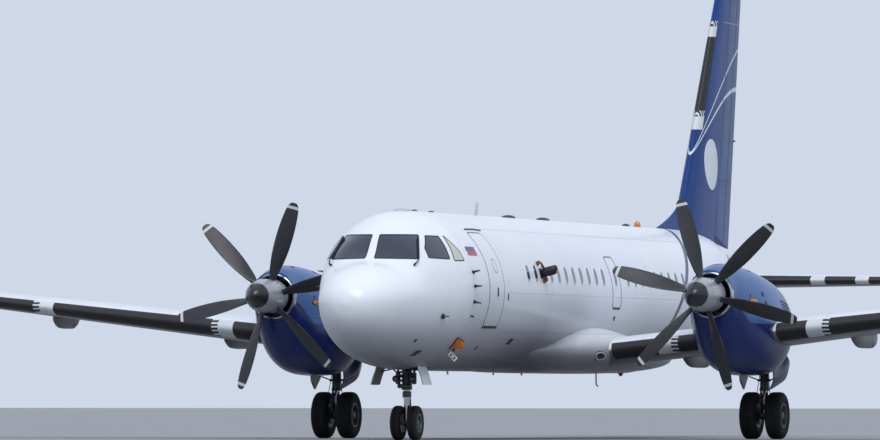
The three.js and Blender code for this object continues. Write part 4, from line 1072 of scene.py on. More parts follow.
# %% Probes and sensors
PROBE = {"station": -0.4, "heights": (2.998, 2.748, 2.468), "reach": 0.12, "lean": 0.03, "length": 0.17}
VANE = (-1.485, 2.205)
VANE_WEDGE = [(-0.05, 0), (0.06, 0.012), (0.06, -0.012)]


def stud(station, height, reach, *radii):
    """A round post that stands straight out of the port side."""
    ends = [hull_point(station, height, lift) for lift in (-0.01, reach)]
    return rod(*ends, *radii, sides=16)


def probe(station, height):
    """A mast that leans forward out of the skin, with a tube along the air's path on its end."""
    foot = hull_point(station, height, -0.01)
    head = hull_point(station, height, PROBE["reach"]) - Vector((0, PROBE["lean"], 0))
    return [rod(foot, head, 0.024, 0.014),
            rod(head + Vector((0, 0.04, 0)), head - Vector((0, PROBE["length"], 0)), 0.014, 0.009),
            plate(*HULL_SIDE, oval(station, height, 0.05, 0.035), 0.005)]


probes = [piece for height in PROBE["heights"] for piece in probe(PROBE["station"], height)]
probes += [stud(-0.42, 2.219, 0.05, 0.02), stud(*VANE, 0.03, 0.05)]
vane_root = hull_point(*VANE, 0.02)
probes.append(loft("vane", [[vane_root + Vector((out, y, z)) for y, z in VANE_WEDGE] for out in (0, 0.09)]))
pair(merged("probes", *probes), "probes", *ON_WHITE, FITTING)

HULL_SLOTS = [
    (-1.98, 1.77, 0.035, 0.028, 0.01),
    (-1.57, 1.55, 0.09, 0.048, 0.02),
    (0.96, 1.66, 0.045, 0.034, 0.02),
    (2.71, 1.785, 0.115, 0.053, 0.025),
]


def slot(a, b, half_wide, half_tall, lean):
    """An opening with level ends whose sides lean aft as they rise."""
    corners = [(a + side * half_wide + rise * lean, b + rise * half_tall)
               for side, rise in ((-1, -1), (1, -1), (1, 1), (-1, 1))]
    return plate(*HULL_SIDE, rounded(corners, 0.008, 3, 0.04), 0.003)


pair(merged("slots", *(slot(*row) for row in HULL_SLOTS)), "hull_slots", *ON_WHITE, DARK)

# %% [markdown]
# Behind the entry door a short black barrel stands off the skin on bronze brackets, and looks outwards.

# %% Sensor behind the door
POD = {"station": 3.86, "height": 3.04, "radius": 0.088, "out": 0.29, "rise": 0.07}
POD_PROFILE = [(0, 0.05), (0.04, 0.06), (0.04, 0.08), (0.07, POD["radius"]), (0.26, POD["radius"]),
               (0.285, 0.078), (0.29, 0.065), (0.27, 0.055)]
POD_BASE = rounded(box(3.74, 3.98, 2.94, 3.12), 0.03)
root = hull_point(POD["station"], POD["height"])
pod_axis = Vector((POD["out"], 0, POD["rise"]))
pod = merged("pod", turned("barrel", POD_PROFILE, root, pod_axis, 28),
             rod(root - pod_axis * 0.05, root + pod_axis * 0.2, 0.045),
             plate(*HULL_SIDE, POD_BASE, 0.02))
settle(pod, *ON_WHITE, DARK)
straps = []
for rise, ahead in ((0.17, -0.12), (-0.14, 0.04)):
    spot = (POD["station"] + ahead, POD["height"] + rise)
    foot, knee = (hull_point(*spot, height) for height in (-0.01, 0.07))
    straps += [tube([foot, knee, root + pod_axis * 0.2 + Vector((0, 0, rise * 0.35))], 0.02, 8),
               stud(*spot, 0.045, 0.045)]
settle(merged("pod_straps", *straps), *ON_WHITE, BRONZE)

# %% [markdown]
# On the nose are a small patch of three plain bands, and an orange cover over one opening, with a tag that
# hangs from it by a dark link. The cover is cloth on the real one, and a stiff shell here.

# %% Marks and covers on the nose
BANDS = [
    ("white", 3.455, 3.53, rgb(240, 242, 245)),
    ("blue", 3.375, 3.455, rgb(30, 52, 130)),
    ("red", 3.295, 3.375, rgb(178, 26, 44)),
]
for colour_name, low, high, colour in BANDS:
    corners = [(-0.34, high), (-0.37, low + 0.001), (0.11, low + 0.001), (0.14, high)]
    band = plate(*HULL_SIDE, rounded(corners, 0.002, 1, 0.03), 0.004, rings=6)
    name = "patch_" + colour_name
    pair(band, name, *ON_WHITE, plain(name, colour, 0.3, coat=0.3))

COVER = {"tip": (-0.54, 1.638), "high": (-0.55, 1.83), "rear": -0.27, "foot": (1.8, 1.62),
         "edge": (0.014, 0, -0.01)}
COVER_REAR = [(1.15, 1.769), (1.14, 1.632)]
high, tip = (hull_point(*COVER[corner]) for corner in ("high", "tip"))
edge = Vector(COVER["edge"])
outer = [Vector((across, COVER["rear"] + AXLE_Y, height)) for across, height in COVER_REAR]
foot = [hull_point(COVER["rear"], height, -0.02) for height in reversed(COVER["foot"])]
rings = [[high + edge, tip + edge, tip - edge, high - edge], [*outer, *foot]]
settle(loft("nose_cover", rings), *ON_WHITE, COVER_CLOTH, angle=20)
hem_line = [tip + edge, (tip + high) / 2 + edge * 1.2, high + edge, (high + outer[0]) / 2 + edge * 0.4,
            outer[0]]
settle(merged("nose_cover_hem", tube(hem_line, 0.011, 8)), *ON_WHITE, COVER_HEM)

TAG_CENTRE = Vector((1.007, -0.5 + AXLE_Y, 1.496))
TAG_CORNERS = [(-0.092, 0.03), (-0.026, 0.092), (0.091, -0.033), (0.026, -0.091)]
TAG_LAYERS = [(1, -0.004, 0.004, DOOR_WHITE), (0.66, -0.007, 0.0, FITTING), (0.36, -0.01, 0.0, DOOR_WHITE)]
LINK = [(1.03, -0.4, 1.65), (1.015, -0.47, 1.61), (0.99, -0.5, 1.565)]
hanger = [Vector((x, station + AXLE_Y, z)) for x, station, z in LINK]
half_link = Vector((0, 0.02, 0))
link = merged("tag_hanger", tube(hanger, 0.009, 8), rod(hanger[1] - half_link, hanger[1] + half_link, 0.022))
settle(link, *ON_WHITE, DARK)
for scale, front, back, colour in TAG_LAYERS:
    rings = [[TAG_CENTRE + Vector((across * scale, depth, rise * scale)) for across, rise in TAG_CORNERS]
             for depth in (front, back)]
    settle(loft("tag", rings), *ON_WHITE, colour)

# %% [markdown]
# Aerials are blades that stand on the back and under the belly, and flat domes lie between them. A thin mast
# bends aft behind the wing. A beacon stands above and one below, and a lamp is let into each fairing side.

# %% Aerials, masts and beacons
AERIAL = {"sweep": 0.3, "taper": 0.45, "cap": 0.75}


def aerial(view, across, station, length, height, thick=0.03, down=1):
    """A blade aerial: a pointed section that grows smaller and further aft towards its tip."""
    foot = HULL_SHELL.meet(view, across, station)
    rings = []
    for share in (-0.1, 0.0, 0.6, 0.92, 1.0):
        size = length * (1 - AERIAL["taper"] * max(share, 0)) * (AERIAL["cap"] if share == 1 else 1)
        back = height * AERIAL["sweep"] * max(share, 0)
        rings.append([foot + Vector((thick / 2 * math.sin(t), back - size / 2 * math.cos(t),
                                     down * height * share)) for t in circle(16)])
    return loft("aerial", rings)


def dome(view, across, station, length, height, wide):
    """A low streamlined bump, longer than it is wide."""
    foot = HULL_SHELL.meet(view, across, station)
    rings = []
    for lean in (-12, 0, 20, 40, 58, 74, 86):
        size, up = math.cos(math.radians(lean)), height * math.sin(math.radians(lean))
        rings.append([foot + Vector((wide / 2 * size * math.sin(t), length / 2 * size * math.cos(t), up))
                      for t in circle(20)])
    return loft("dome", rings)


DARK_DOMES = [
    (0, 6.42, 0.62, 0.055, 0.22),
    (0, 8.7, 0.6, 0.055, 0.22),
    (0, 14.5, 0.35, 0.05, 0.14),
    (0, 0.45, 0.24, 0.03, 0.1),
    (0, 1.47, 0.24, 0.03, 0.1),
]
MAST_BENDS = [(0, 0), (0.01, -0.2), (0.05, -0.26), (0.14, -0.27)]
settle(merged("dark_domes", *(dome(from_above, *row) for row in DARK_DOMES)), *ON_WHITE, FITTING)
pale = [dome(from_above, 0, -0.3, 0.42, 0.05, 0.3), aerial(from_above, 0, 4.3, 0.16, 0.24, thick=0.04)]
pale += [aerial(from_below, 0.16, station, 0.1, 0.075, down=-1) for station in (1.97, 4.88, 6.73)]
mast_foot = FAIRING_SHELL.meet(from_below, 0.1, 12.03, -0.02)
pale.append(tube([mast_foot + Vector((0, back, up)) for back, up in MAST_BENDS], 0.014, 10))
settle(merged("pale_aerials", *pale), *ON_WHITE, plain("aerial_paint", rgb(190, 193, 198), 0.4))

TALL_BEACON = 0.12
BEACONS = [(from_above, 1, 15.32, TALL_BEACON, AMBER), (from_below, -1, 14.13, 0.07, RED)]
for view, way, station, height, lens in BEACONS:
    foot = HULL_SHELL.meet(view, 0, station, -0.01)
    part = height / TALL_BEACON
    profile = [(0, 0.08), (0.02, 0.08), (0.02, 0.062), (0.05 * part, 0.066), (0.08 * part, 0.055),
               (height, 0.028), (height + 0.008, 0.003)]
    scaled = [(up, radius * (0.4 + 0.6 * part)) for up, radius in profile]
    settle(turned("dome", scaled, foot, (0, 0, way), 24), *ON_WHITE, lens)

LAMP_HEIGHT = 1.54
LANDING = oval(6.66, LAMP_HEIGHT, 0.155, 0.06, 2)
LANDING[:, 0] -= (LANDING[:, 1] - LAMP_HEIGHT) * 1.1
pair(plate(FAIRING_SHELL, PORT, LANDING, 0.002), "landing_lamp", *ON_WHITE, COCKPIT)
LAMP_RIMS = [("ring", -0.022, 0.026, 0.012, CLEAR), ("edge", -0.034, 0.012, 0.006, DARK)]
for part, grown, width, lift, finish in LAMP_RIMS:
    made = rim(FAIRING_SHELL, PORT, inset(LANDING, grown), width, lift)
    pair(made, "landing_lamp_" + part, *ON_WHITE, finish)
TAIL_LAMP = {"station": 22.07, "height": 3.37}
tail_lamp = turned("tail_lamp", [(-0.16, 0.1), (0, 0.075), (0.03, 0.055), (0.05, 0.02), (0.051, 0.002)],
                   (0, TAIL_LAMP["station"] + AXLE_Y, TAIL_LAMP["height"]), AFT, 24)
settle(tail_lamp, *ON_WHITE, CLEAR)

# %% [markdown]
# Wings, tailplane and fin share one recipe. A section is a teardrop outline with its own chord, thickness
# and place, and a table gives the section at a few places along the span. The same outline, cut at the hinge
# line, gives the moving part with its round nose, and the room that it needs in the fixed part.

# %% Lifting surfaces
DIHEDRAL = math.radians(6.25)
WING_ROOT_HEIGHT = 1.454
EDGE_HALF = 0.004
RUNNING = 0.008
CHORD_STEPS = 18
ARC_STEPS = 12


def foil_half(at, thickness):
    polynomial = 0.2969 * math.sqrt(at) - 0.126 * at - 0.3516 * at ** 2 + 0.2843 * at ** 3 - 0.1036 * at ** 4
    return 5 * thickness * polynomial


def section_row(s, station, chord, thickness, hinge, camber=0.0, twist=0.0, stretch=1.0):
    return {"s": s, "y": station, "chord": chord, "thickness": thickness, "hinge": hinge, "camber": camber,
            "twist": twist, "stretch": stretch}


def section_at(rows, s):
    """The section between two rows. The hinge line stays straight between them."""
    after = next((at for at, row in enumerate(rows) if row["s"] >= s - 1e-9 and at), len(rows) - 1)
    first, second = rows[after - 1], rows[after]
    share = (s - first["s"]) / (second["s"] - first["s"])
    section = {key: first[key] + (second[key] - first[key]) * share for key in first}
    for key in ("hinge", "twist"):
        ends = [row[key] * row["chord"] for row in (first, second)]
        section[key] = (ends[0] + (ends[1] - ends[0]) * share) / section["chord"]
    return section


def mean_line(section, at):
    return (section["camber"] * 4 * at * (1 - at) - section["twist"] * at) * section["chord"]


def skin_height(section, at, side):
    half = foil_half(at, section["thickness"]) * section["chord"] + EDGE_HALF * at
    return mean_line(section, at) + side * half


def skin_point(section, at, side):
    """A point of the outline at a share of the chord, on the upper side at 1 and on the lower at -1."""
    return section["y"] + at * section["chord"], skin_height(section, at, side)


def hinge_of(section):
    at = section["hinge"]
    radius = foil_half(at, section["thickness"]) * section["chord"] + EDGE_HALF * at
    return section["y"] + at * section["chord"], mean_line(section, at), radius, section["stretch"]


def foil_outline(section):
    places = [1 - math.cos(step / CHORD_STEPS * math.pi / 2) for step in range(CHORD_STEPS + 1)]
    upper = [skin_point(section, at, 1) for at in reversed(places)]
    return upper + [skin_point(section, at, -1) for at in places[1:]]


def hinge_arc(hinge, radius):
    y, height, _, stretch = hinge
    turns = [math.pi / 2 + step / ARC_STEPS * math.pi for step in range(ARC_STEPS + 1)]
    return [(y + radius * stretch * math.cos(turn), height + radius * math.sin(turn)) for turn in turns]


def tail_outline(section):
    shares = [1, 0.84, 0.68, 0.52, 0.36, 0.2]
    places = [section["hinge"] + (1 - section["hinge"]) * share for share in shares]
    upper = [skin_point(section, at, 1) for at in places]
    lower = [skin_point(section, at, -1) for at in reversed(places)]
    hinge = hinge_of(section)
    return upper + hinge_arc(hinge, hinge[2]) + lower


def cove_outline(section):
    hinge = hinge_of(section)
    y, height, radius, _ = hinge
    far, tall = section["y"] + section["chord"] + 0.3, radius + 0.4
    return [(y, height + tall), *hinge_arc(hinge, radius + RUNNING), (y, height - tall), (far, height - tall),
            (far, height + tall)]


def wing_place(s, station, height):
    lean, rise = math.sin(DIHEDRAL), math.cos(DIHEDRAL)
    return (s * rise - height * lean, station + AXLE_Y, WING_ROOT_HEIGHT + s * lean + height * rise)


def fin_place(s, station, height):
    return (height, station + AXLE_Y, s)


TAIL_HEIGHT = 3.125


def tail_place(s, station, height):
    return (s, station + AXLE_Y, TAIL_HEIGHT + height)


def between(rows, start, end):
    inner = [row["s"] for row in rows if start < row["s"] < end]
    return [section_at(rows, s) for s in (start, *inner, end)]


def surface(name, place, sections, outline):
    return loft(name, [[place(section["s"], y, h) for y, h in outline(section)] for section in sections])


def along(x):
    return x / math.cos(DIHEDRAL)


WING_ROWS = [
    section_row(along(1.0), 6.91, 3.42, 0.15, 0.72, 0.01, 0.03),
    section_row(along(4.9), 6.91, 3.42, 0.148, 0.72, 0.01, 0.03),
    section_row(along(14.7), 7.405, 1.43, 0.123, 0.72, 0.01, 0.01),
    section_row(along(15.0) - 0.012, 7.56, 1.13, 0.06, 0.72, 0.01, 0.01),
]
FIN_ROWS = [
    section_row(3.6, 17.922, 4.182, 0.115, 0.57, stretch=1.051),
    section_row(9.2, 21.484, 1.716, 0.11, 0.37, stretch=1.051),
    section_row(9.32, 21.66, 1.46, 0.05, 0.34, stretch=1.051),
]
TAIL_ROWS = [
    section_row(0.1, 19.711, 2.609, 0.12, 0.66),
    section_row(5.35, 20.73, 1.33, 0.11, 0.66),
    section_row(5.55, 20.85, 1.12, 0.05, 0.66),
]

# %% [markdown]
# The wing is cut where the flaps and the aileron move, and trimmed by nothing else: its root runs on into
# the fairing and the nacelle, where no one sees it. The flaps and the aileron follow as skins of their own.

# %% Wings
WING_SPLIT = along(NACELLE_X)
FLAP_INNER = (along(2.01), along(3.39), 0.02)
FLAP_OUTER = (along(5.08), along(9.65), 0.04)
AILERON = (along(9.8), along(14.3), 0.02)


def cove(place, rows, start, end, room):
    return surface("cove", place, between(rows, start - room, end + room), cove_outline)


def wing_part(name, start, end, *moves):
    """A stretch of the port wing between two places on its span, with the room for what moves in it."""
    skin = surface(name, wing_place, between(WING_ROWS, start, end), foil_outline)
    return carve(skin, *(cove(wing_place, WING_ROWS, *reach) for reach in moves))


inner = wing_part("wing_inner_port_skin", WING_ROWS[0]["s"], WING_SPLIT, FLAP_INNER)
outer = wing_part("wing_outer_port_skin", WING_SPLIT, WING_ROWS[-1]["s"], FLAP_OUTER, AILERON)
twins(inner, "wing_inner", *ON_WING, WING)
twins(outer, "wing_outer", *ON_WING, WING)

# %% Tailplane and fin
ELEVATOR = (1.05, 5.15, 0.014)
RUDDER = (3.72, 9.08, 0.06)
stabiliser = surface("tailplane_port_skin", tail_place, TAIL_ROWS, foil_outline)
carve(stabiliser, cove(tail_place, TAIL_ROWS, *ELEVATOR))
twins(stabiliser, "tailplane", *ON_WING, TAIL)

DORSAL_FOOT = 3.8
DORSAL_EDGE = 0.01
DORSAL_SECTIONS = [
    (16.5, 4.08, 0.02),
    (17.0, 4.175, 0.05),
    (17.654, 4.337, 0.075),
    (18.15, 4.51, 0.085),
    (18.516, 4.69, 0.085),
    (18.76, 4.9, 0.08),
    (19.0, 5.24, 0.06),
]


def dorsal_ring(station, top, half):
    knee = DORSAL_FOOT + (top - DORSAL_FOOT) * 0.7
    right = [(half * 1.6, DORSAL_FOOT), (half, knee), (DORSAL_EDGE, top)]
    return [(x, station + AXLE_Y, z) for x, z in right + [(-x, z) for x, z in reversed(right)]]


fin = surface("fin_skin", fin_place, FIN_ROWS, foil_outline)
low_cut = block((-0.6, 20.3 + AXLE_Y, 3.4), (0.6, 24 + AXLE_Y, RUDDER[0]))
carve(fin, cove(fin_place, FIN_ROWS, *RUDDER), low_cut)
dorsal = loft("dorsal", [dorsal_ring(*row) for row in blend(DORSAL_SECTIONS, 4)])
combine(fin, [dorsal], "UNION")
settle(fin, *ON_BLUE, FIN_BLUE, "fin")

# %% [markdown]
# Black rubber boots cover the leading edges, to break ice off them. A boot is a thin sheet that wraps the
# section's nose: its outline is the section's own, offset a little outwards, and cut off above and below.

# %% De-icing boots
BOOT_THICK = 0.005


def boot(place, rows, start, end, above, below):
    rings = []
    for section in between(rows, start, end):
        upper = [(above * share ** 2, 1) for share in np.linspace(1, 0, 10)]
        lower = [(below * share ** 2, -1) for share in np.linspace(0.1, 1, 10)]
        points = np.array([skin_point(section, *spot) for spot in upper + lower])
        run = np.gradient(points, axis=0)
        normal = np.stack([run[:, 1], -run[:, 0]], axis=1) / np.linalg.norm(run, axis=1)[:, None]
        if normal[9][0] > 0:
            normal = -normal
        ring = list(points + normal * BOOT_THICK) + list((points - normal * BOOT_THICK)[::-1])
        rings.append([place(section["s"], y, h) for y, h in ring])
    return loft("boot", rings)


WING_BOOTS = [
    (along(1.85), along(3.5), 0.03, 0.07),
    (along(5.0), along(9.34), 0.045, 0.085),
    (along(9.35), along(14.6), 0.045, 0.085),
]
wing_boots = merged("wing_boots", *(boot(wing_place, WING_ROWS, *row) for row in WING_BOOTS))
pair(wing_boots, "wing_boots", *ON_WING, WING_BOOT)
pair(boot(tail_place, TAIL_ROWS, 1.05, 5.3, 0.07, 0.07), "tail_boots", *ON_WING, TAIL_BOOT)
settle(boot(fin_place, FIN_ROWS, 6.135, 8.37, 0.065, 0.065), *ON_BLUE, FIN_BOOT)

# %% [markdown]
# Rudders, elevators and ailerons end in a round nose that turns in the hollow of the fixed part, so only a
# narrow gap shows. The rudder has a trailing part with a hinge of its own, and both stop at a sloping foot.

# %% Control surfaces
def moving(name, place, rows, start, end):
    return surface(name, place, between(rows, start, end), tail_outline)


aileron = moving("aileron_skin", wing_place, WING_ROWS, *AILERON[:2])
pair(aileron, "aileron_skin", "aileron_*", "wing_paint", WING, "aileron_*")
elevator = moving("elevator_skin", tail_place, TAIL_ROWS, *ELEVATOR[:2])
pair(elevator, "elevator_skin", "elevator_*", "wing_paint", TAIL, "elevator_*")

TAB_PLACES = (0.815, 0.757, 0.75)
TAB_ROWS = [{**row, "hinge": at, "stretch": 1.033} for row, at in zip(FIN_ROWS, TAB_PLACES)]
FOOT_FRONT, FOOT_REAR = (20.0, 4.125), (23.0, 3.65)


def below_foot():
    corners = [FOOT_FRONT, FOOT_REAR, (FOOT_REAR[0], 3.0), (FOOT_FRONT[0], 3.0)]
    return loft("foot", [[(x, station + AXLE_Y, z) for station, z in corners] for x in (-0.6, 0.6)])


rudder = moving("rudder_skin", fin_place, FIN_ROWS, *RUDDER[:2])
tab_cove = surface("tab_cove", fin_place, between(TAB_ROWS, RUDDER[0] - 0.05, RUDDER[1] + 0.05), cove_outline)
carve(rudder, tab_cove, below_foot())
settle(rudder, "rudder", "blue_paint", LIT_RUDDER_BLUE, "rudder")
trailing = carve(moving("rudder_trailing_skin", fin_place, TAB_ROWS, *RUDDER[:2]), below_foot())
settle(trailing, "rudder_trailing_part", "blue_paint", LIT_RUDDER_BLUE, "rudder_trailing_part")
PEG = {"front": 22.42, "rear": 22.68, "height": 5.99, "radius": 0.018}
peg = rod((0, PEG["front"] + AXLE_Y, PEG["height"]), (0, PEG["rear"] + AXLE_Y, PEG["height"]), PEG["radius"])
settle(merged("rudder_peg", peg), "rudder_trailing_part", "blue_paint", DARK)

# %% [markdown]
# Each flap hangs from arms that turn on pins low in a canoe under the wing. The canoe's front is fixed to the
# wing and its tail swings down with the flap. Both are lofts of a round-bottomed section, cut for the arm.

# %% Flaps and canoes
CANOE = {"drop": 0.33, "axis_back": 0.12, "front": 0.38, "rear": 0.99, "half": 0.085, "deep": 0.18,
         "end": 0.02, "wall": 0.014, "boss": 0.048, "swing": 0.105}
CANOE_RINGS = [(0, 0.012, 0.45), (0.06, 0.04, 0.7), (0.12, 0.058, 0.86), (0.4, 0.085, 1.15), (1, 0.085, 1.18)]
CANOE_TAIL_RINGS = [(0, 0.085, 0), (0.35, 0.078, 0.05), (0.7, 0.06, 0.3), (1, 0.014, 0.9)]
ARM_HEAD = [(0.48, -0.02), (0.12, 0.01)]
FLAP_SUPPORTS = {"inner": [along(2.85)], "outer": [along(6.1), along(9.5)]}


def canoe_ring(s, station, half, roof, base):
    ring = []
    for t in np.linspace(0, math.pi, 17):
        across = math.copysign(abs(math.cos(t)) ** 0.75, math.cos(t)) * half
        ring.append(wing_place(s + across, station, roof + (base - roof) * math.sin(t) ** 0.5))
    return ring


def wing_prism(outline, start, end):
    return loft("prism", [[wing_place(s, y, h) for y, h in outline] for s in (start, end)])


def flap_support(s):
    """The canoe that is fixed to the wing, and the tail and arm that swing."""
    section = section_at(WING_ROWS, s)
    hinge_y, top, nose, _ = hinge_of(section)
    axis_y, axis_h = hinge_y + CANOE["axis_back"], top - CANOE["drop"]
    front = section["y"] + CANOE["front"] * section["chord"]
    rear = axis_y + CANOE["boss"] + CANOE["end"]
    beyond = rear + 0.05
    rings = [(front + (rear - front) * share, wide, top, top + (axis_h - top) * low)
             for share, wide, low in blend(CANOE_RINGS, 4)]
    canoe = loft("canoe", [canoe_ring(s, *ring) for ring in rings])
    nose_room = box(hinge_y - nose - RUNNING, beyond, top - nose - RUNNING, top + 0.3)
    slot_room = box(axis_y - CANOE["boss"] - 0.012, beyond, axis_h - 0.3, top + 0.1)
    reach = CANOE["wall"] + RUNNING
    carve(canoe, wing_prism(nose_room, s - 0.2, s + 0.2), wing_prism(slot_room, s - reach, s + reach))
    turns = [math.pi * (0.75 + step / 12) for step in range(13)]
    boss = [(axis_y + CANOE["boss"] * math.cos(t), axis_h + CANOE["boss"] * math.sin(t)) for t in turns]
    arm_line = boss + [(axis_y + back, top + rise) for back, rise in ARM_HEAD]
    arm = wing_prism(arm_line, s - CANOE["wall"], s + CANOE["wall"])
    start, end = rear + RUNNING, section["y"] + CANOE["rear"] * section["chord"]
    low_start = axis_h - CANOE["deep"] * CANOE["drop"]
    low_end = skin_height(section, CANOE["rear"], -1) - EDGE_HALF
    tail_rings = []
    for share, wide, low in blend(CANOE_TAIL_RINGS, 4):
        y = start + (end - start) * share
        roof = mean_line(section, (y - section["y"]) / section["chord"])
        tail_rings.append(canoe_ring(s, y, wide, roof, low_start + (low_end - low_start) * low))
    tail = loft("canoe_tail", tail_rings)
    pin = [wing_place(s + sign * CANOE["half"], axis_y, axis_h) for sign in (-2, 2)]
    carve(tail, rod(*pin, CANOE["swing"], sides=40))
    return canoe, merged("swinging", tail, arm)


for name, reach in (("inner", FLAP_INNER), ("outer", FLAP_OUTER)):
    supports = [flap_support(s) for s in FLAP_SUPPORTS[name]]
    plain_flap = moving("flap", wing_place, WING_ROWS, *reach[:2])
    flap = merged(f"flap_{name}_skin", plain_flap, *(swinging for _, swinging in supports))
    pair(flap, f"flap_{name}_skin", f"flap_{name}_*", "wing_paint", WING, f"flap_{name}_*")
    pair(merged(f"canoes_{name}", *(canoe for canoe, _ in supports)), f"canoes_{name}", *ON_WING, WING)

# %% [markdown]
# The wing tips carry a red lamp on the port side and a green one on the starboard side, and thin wicks that
# bleed off static trail from the tips and from the rear edges.

# %% Tip lamps and wicks
TIP_LAMP = (along(14.72), along(14.93), 0.12, 0.12)
for side, lens in (("port", RED), ("starboard", GREEN)):
    port_lamp = boot(wing_place, WING_ROWS, *TIP_LAMP)
    tip_lamp = copied(port_lamp, "tip_lamp_" + side, mirror=side == "starboard")
    bpy.data.objects.remove(port_lamp)
    settle(tip_lamp, *ON_WING, lens)


def wicks(place, rows, spots, length=0.13):
    pieces = []
    for s in spots:
        section = section_at(rows, s)
        y, h = section["y"] + section["chord"], mean_line(section, 1.0)
        pieces.append(rod(place(s, y - 0.01, h), place(s, y + length, h - 0.01), 0.006, 0.003, sides=8))
    return merged("wicks", *pieces)


WING_WICKS = [along(x) for x in (14.4, 14.55, 14.7)]
AILERON_WICKS = [along(x) for x in (10.6, 11.8, 13.0)]
pair(wicks(wing_place, WING_ROWS, WING_WICKS), "wing_wicks", *ON_WING, FITTING)
pair(wicks(wing_place, WING_ROWS, AILERON_WICKS), "aileron_wicks", "aileron_*", "wing_paint", FITTING)
elevator_wicks = wicks(tail_place, TAIL_ROWS, (3.2, 4.1, 4.9), 0.1)
pair(elevator_wicks, "elevator_wicks", "elevator_*", "wing_paint", FITTING)

# %% [markdown]
# A propeller blade is a twisted loft, thick and round at its root and thin at its tip. One blade is made, and
# Geometry Nodes place six copies round the hub.

# %% Propellers
BLADES = 6
BLADE_SECTIONS = [
    (0.12, 0.12, 0.11, 62),
    (0.33, 0.13, 0.095, 60),
    (0.52, 0.25, 0.05, 54),
    (0.9, 0.33, 0.028, 42),
    (1.35, 0.31, 0.018, 33),
    (1.7, 0.22, 0.012, 29),
    (1.8, 0.09, 0.008, 28),
]
REST_BLADES = {"port": 45, "starboard": 17}
HUB = {"radius": 0.315, "front": 4.7, "rear": 5.15}
SPINNER_TIP = 4.01


def blade_ring(radius, chord, thick, pitch):
    turn = circle(24)
    u, v = np.cos(turn) * chord / 2, np.sin(turn) * thick / 2
    lean = math.radians(pitch)
    x, y = u * math.cos(lean) - v * math.sin(lean), u * math.sin(lean) + v * math.cos(lean)
    return np.stack([x, y, np.full(24, radius)], axis=1)


blade = loft("blade", [blade_ring(*row) for row in blend(BLADE_SECTIONS, 5)])


def round_the_axis(name, axis, source, count, first, centre, material):
    """Copies of an object round an axis, X or Y, through a centre."""
    recipe = Recipe(name, Count=count, First=math.radians(first), Step=2 * math.pi / count,
                    Centre=Vector(centre), Piece=source)
    points = recipe.node("GeometryNodeMeshLine", Count=recipe["Count"], Offset=(0, 0, 0))
    index = recipe.node("GeometryNodeInputIndex")
    multiply_add = {"operation": "MULTIPLY_ADD"}
    turn = recipe.node("ShaderNodeMath", multiply_add, i0=index, i1=recipe["Step"], i2=recipe["First"])
    spin = recipe.node("ShaderNodeCombineXYZ", **{axis: turn})
    copy = recipe.node("GeometryNodeObjectInfo", Object=recipe["Piece"], output=4)
    placed = recipe.node("GeometryNodeInstanceOnPoints", Points=points, Instance=copy, Rotation=spin)
    moved = recipe.node("GeometryNodeTranslateInstances", Instances=placed, Translation=recipe["Centre"],
                        Local_Space=False)
    return recipe.build(name, moved, material)


SPINNER_STEPS = 24
spinner_profile = [(0.0, 0.0015)]
for step in range(1, SPINNER_STEPS + 1):
    share = step / SPINNER_STEPS
    reach = (HUB["front"] - SPINNER_TIP) * share ** 1.3
    spinner_profile.append((reach, HUB["radius"] * math.sin(share * math.pi / 2) ** 0.75))
hub_profile = [(0, HUB["radius"]), (HUB["rear"] - HUB["front"], HUB["radius"])]
for side, sign in (("port", 1), ("starboard", -1)):
    body = "propeller_" + side
    stations = (PROPELLER_PLANE, HUB["front"], SPINNER_TIP)
    centre, hub_start, tip = (hub_point(station, sign) for station in stations)
    blades = round_the_axis("blades_" + side, "Y", blade, BLADES, REST_BLADES[side], centre, BLADE)
    settle(turned("hub_" + side, hub_profile, hub_start, AFT), body, "spinner_grey", SPINNER_GREY)
    settle(blades, body, "propeller_blade", BLADE, body)
    spinner = turned("spinner_" + side + "_skin", spinner_profile, tip, AFT)
    settle(spinner, body, "spinner_grey", SPINNER_GREY, "spinner_" + side, angle=50)
bpy.data.objects.remove(blade)

# %% [markdown]
# Tyres are turned pieces with a round shoulder and grooves round the tread. Hubs are dished castings, with
# bolts round their axle. Two wheels share one axle and turn together, so a pair is one body.

# %% Wheels
MAIN = {"radius": 0.44, "width": 0.305, "rim": 0.225, "spacing": 0.49, "axle": 0.045, "bolts": 10}
NOSE = {"radius": 0.31, "width": 0.172, "rim": 0.16, "spacing": 0.314, "axle": 0.032, "bolts": 8}
TYRE_PROFILE = [(0, 0.4), (0.12, 0.46), (0.3, 0.49), (0.65, 0.49), (0.92, 0.38), (1, 0.2)]
GROOVE = {"places": (-0.14, 0, 0.14), "half": 0.006, "deep": 0.01}
ACROSS = (1, 0, 0)


def tyre(wheel, centre):
    inner, outer, width = wheel["rim"] + 0.002, wheel["radius"], wheel["width"]
    side = [(-half * width, inner + (outer - inner) * share) for share, half in blend(TYRE_PROFILE, 5)]
    tread = []
    for place in GROOVE["places"]:
        steps = ((-1, 0), (-0.8, GROOVE["deep"]), (0.8, GROOVE["deep"]), (1, 0))
        tread += [(place * width + at * GROOVE["half"], outer - deep) for at, deep in steps]
    return turned("tyre", side + tread + [(-a, r) for a, r in reversed(side)], centre, ACROSS, 80, hoop=True)


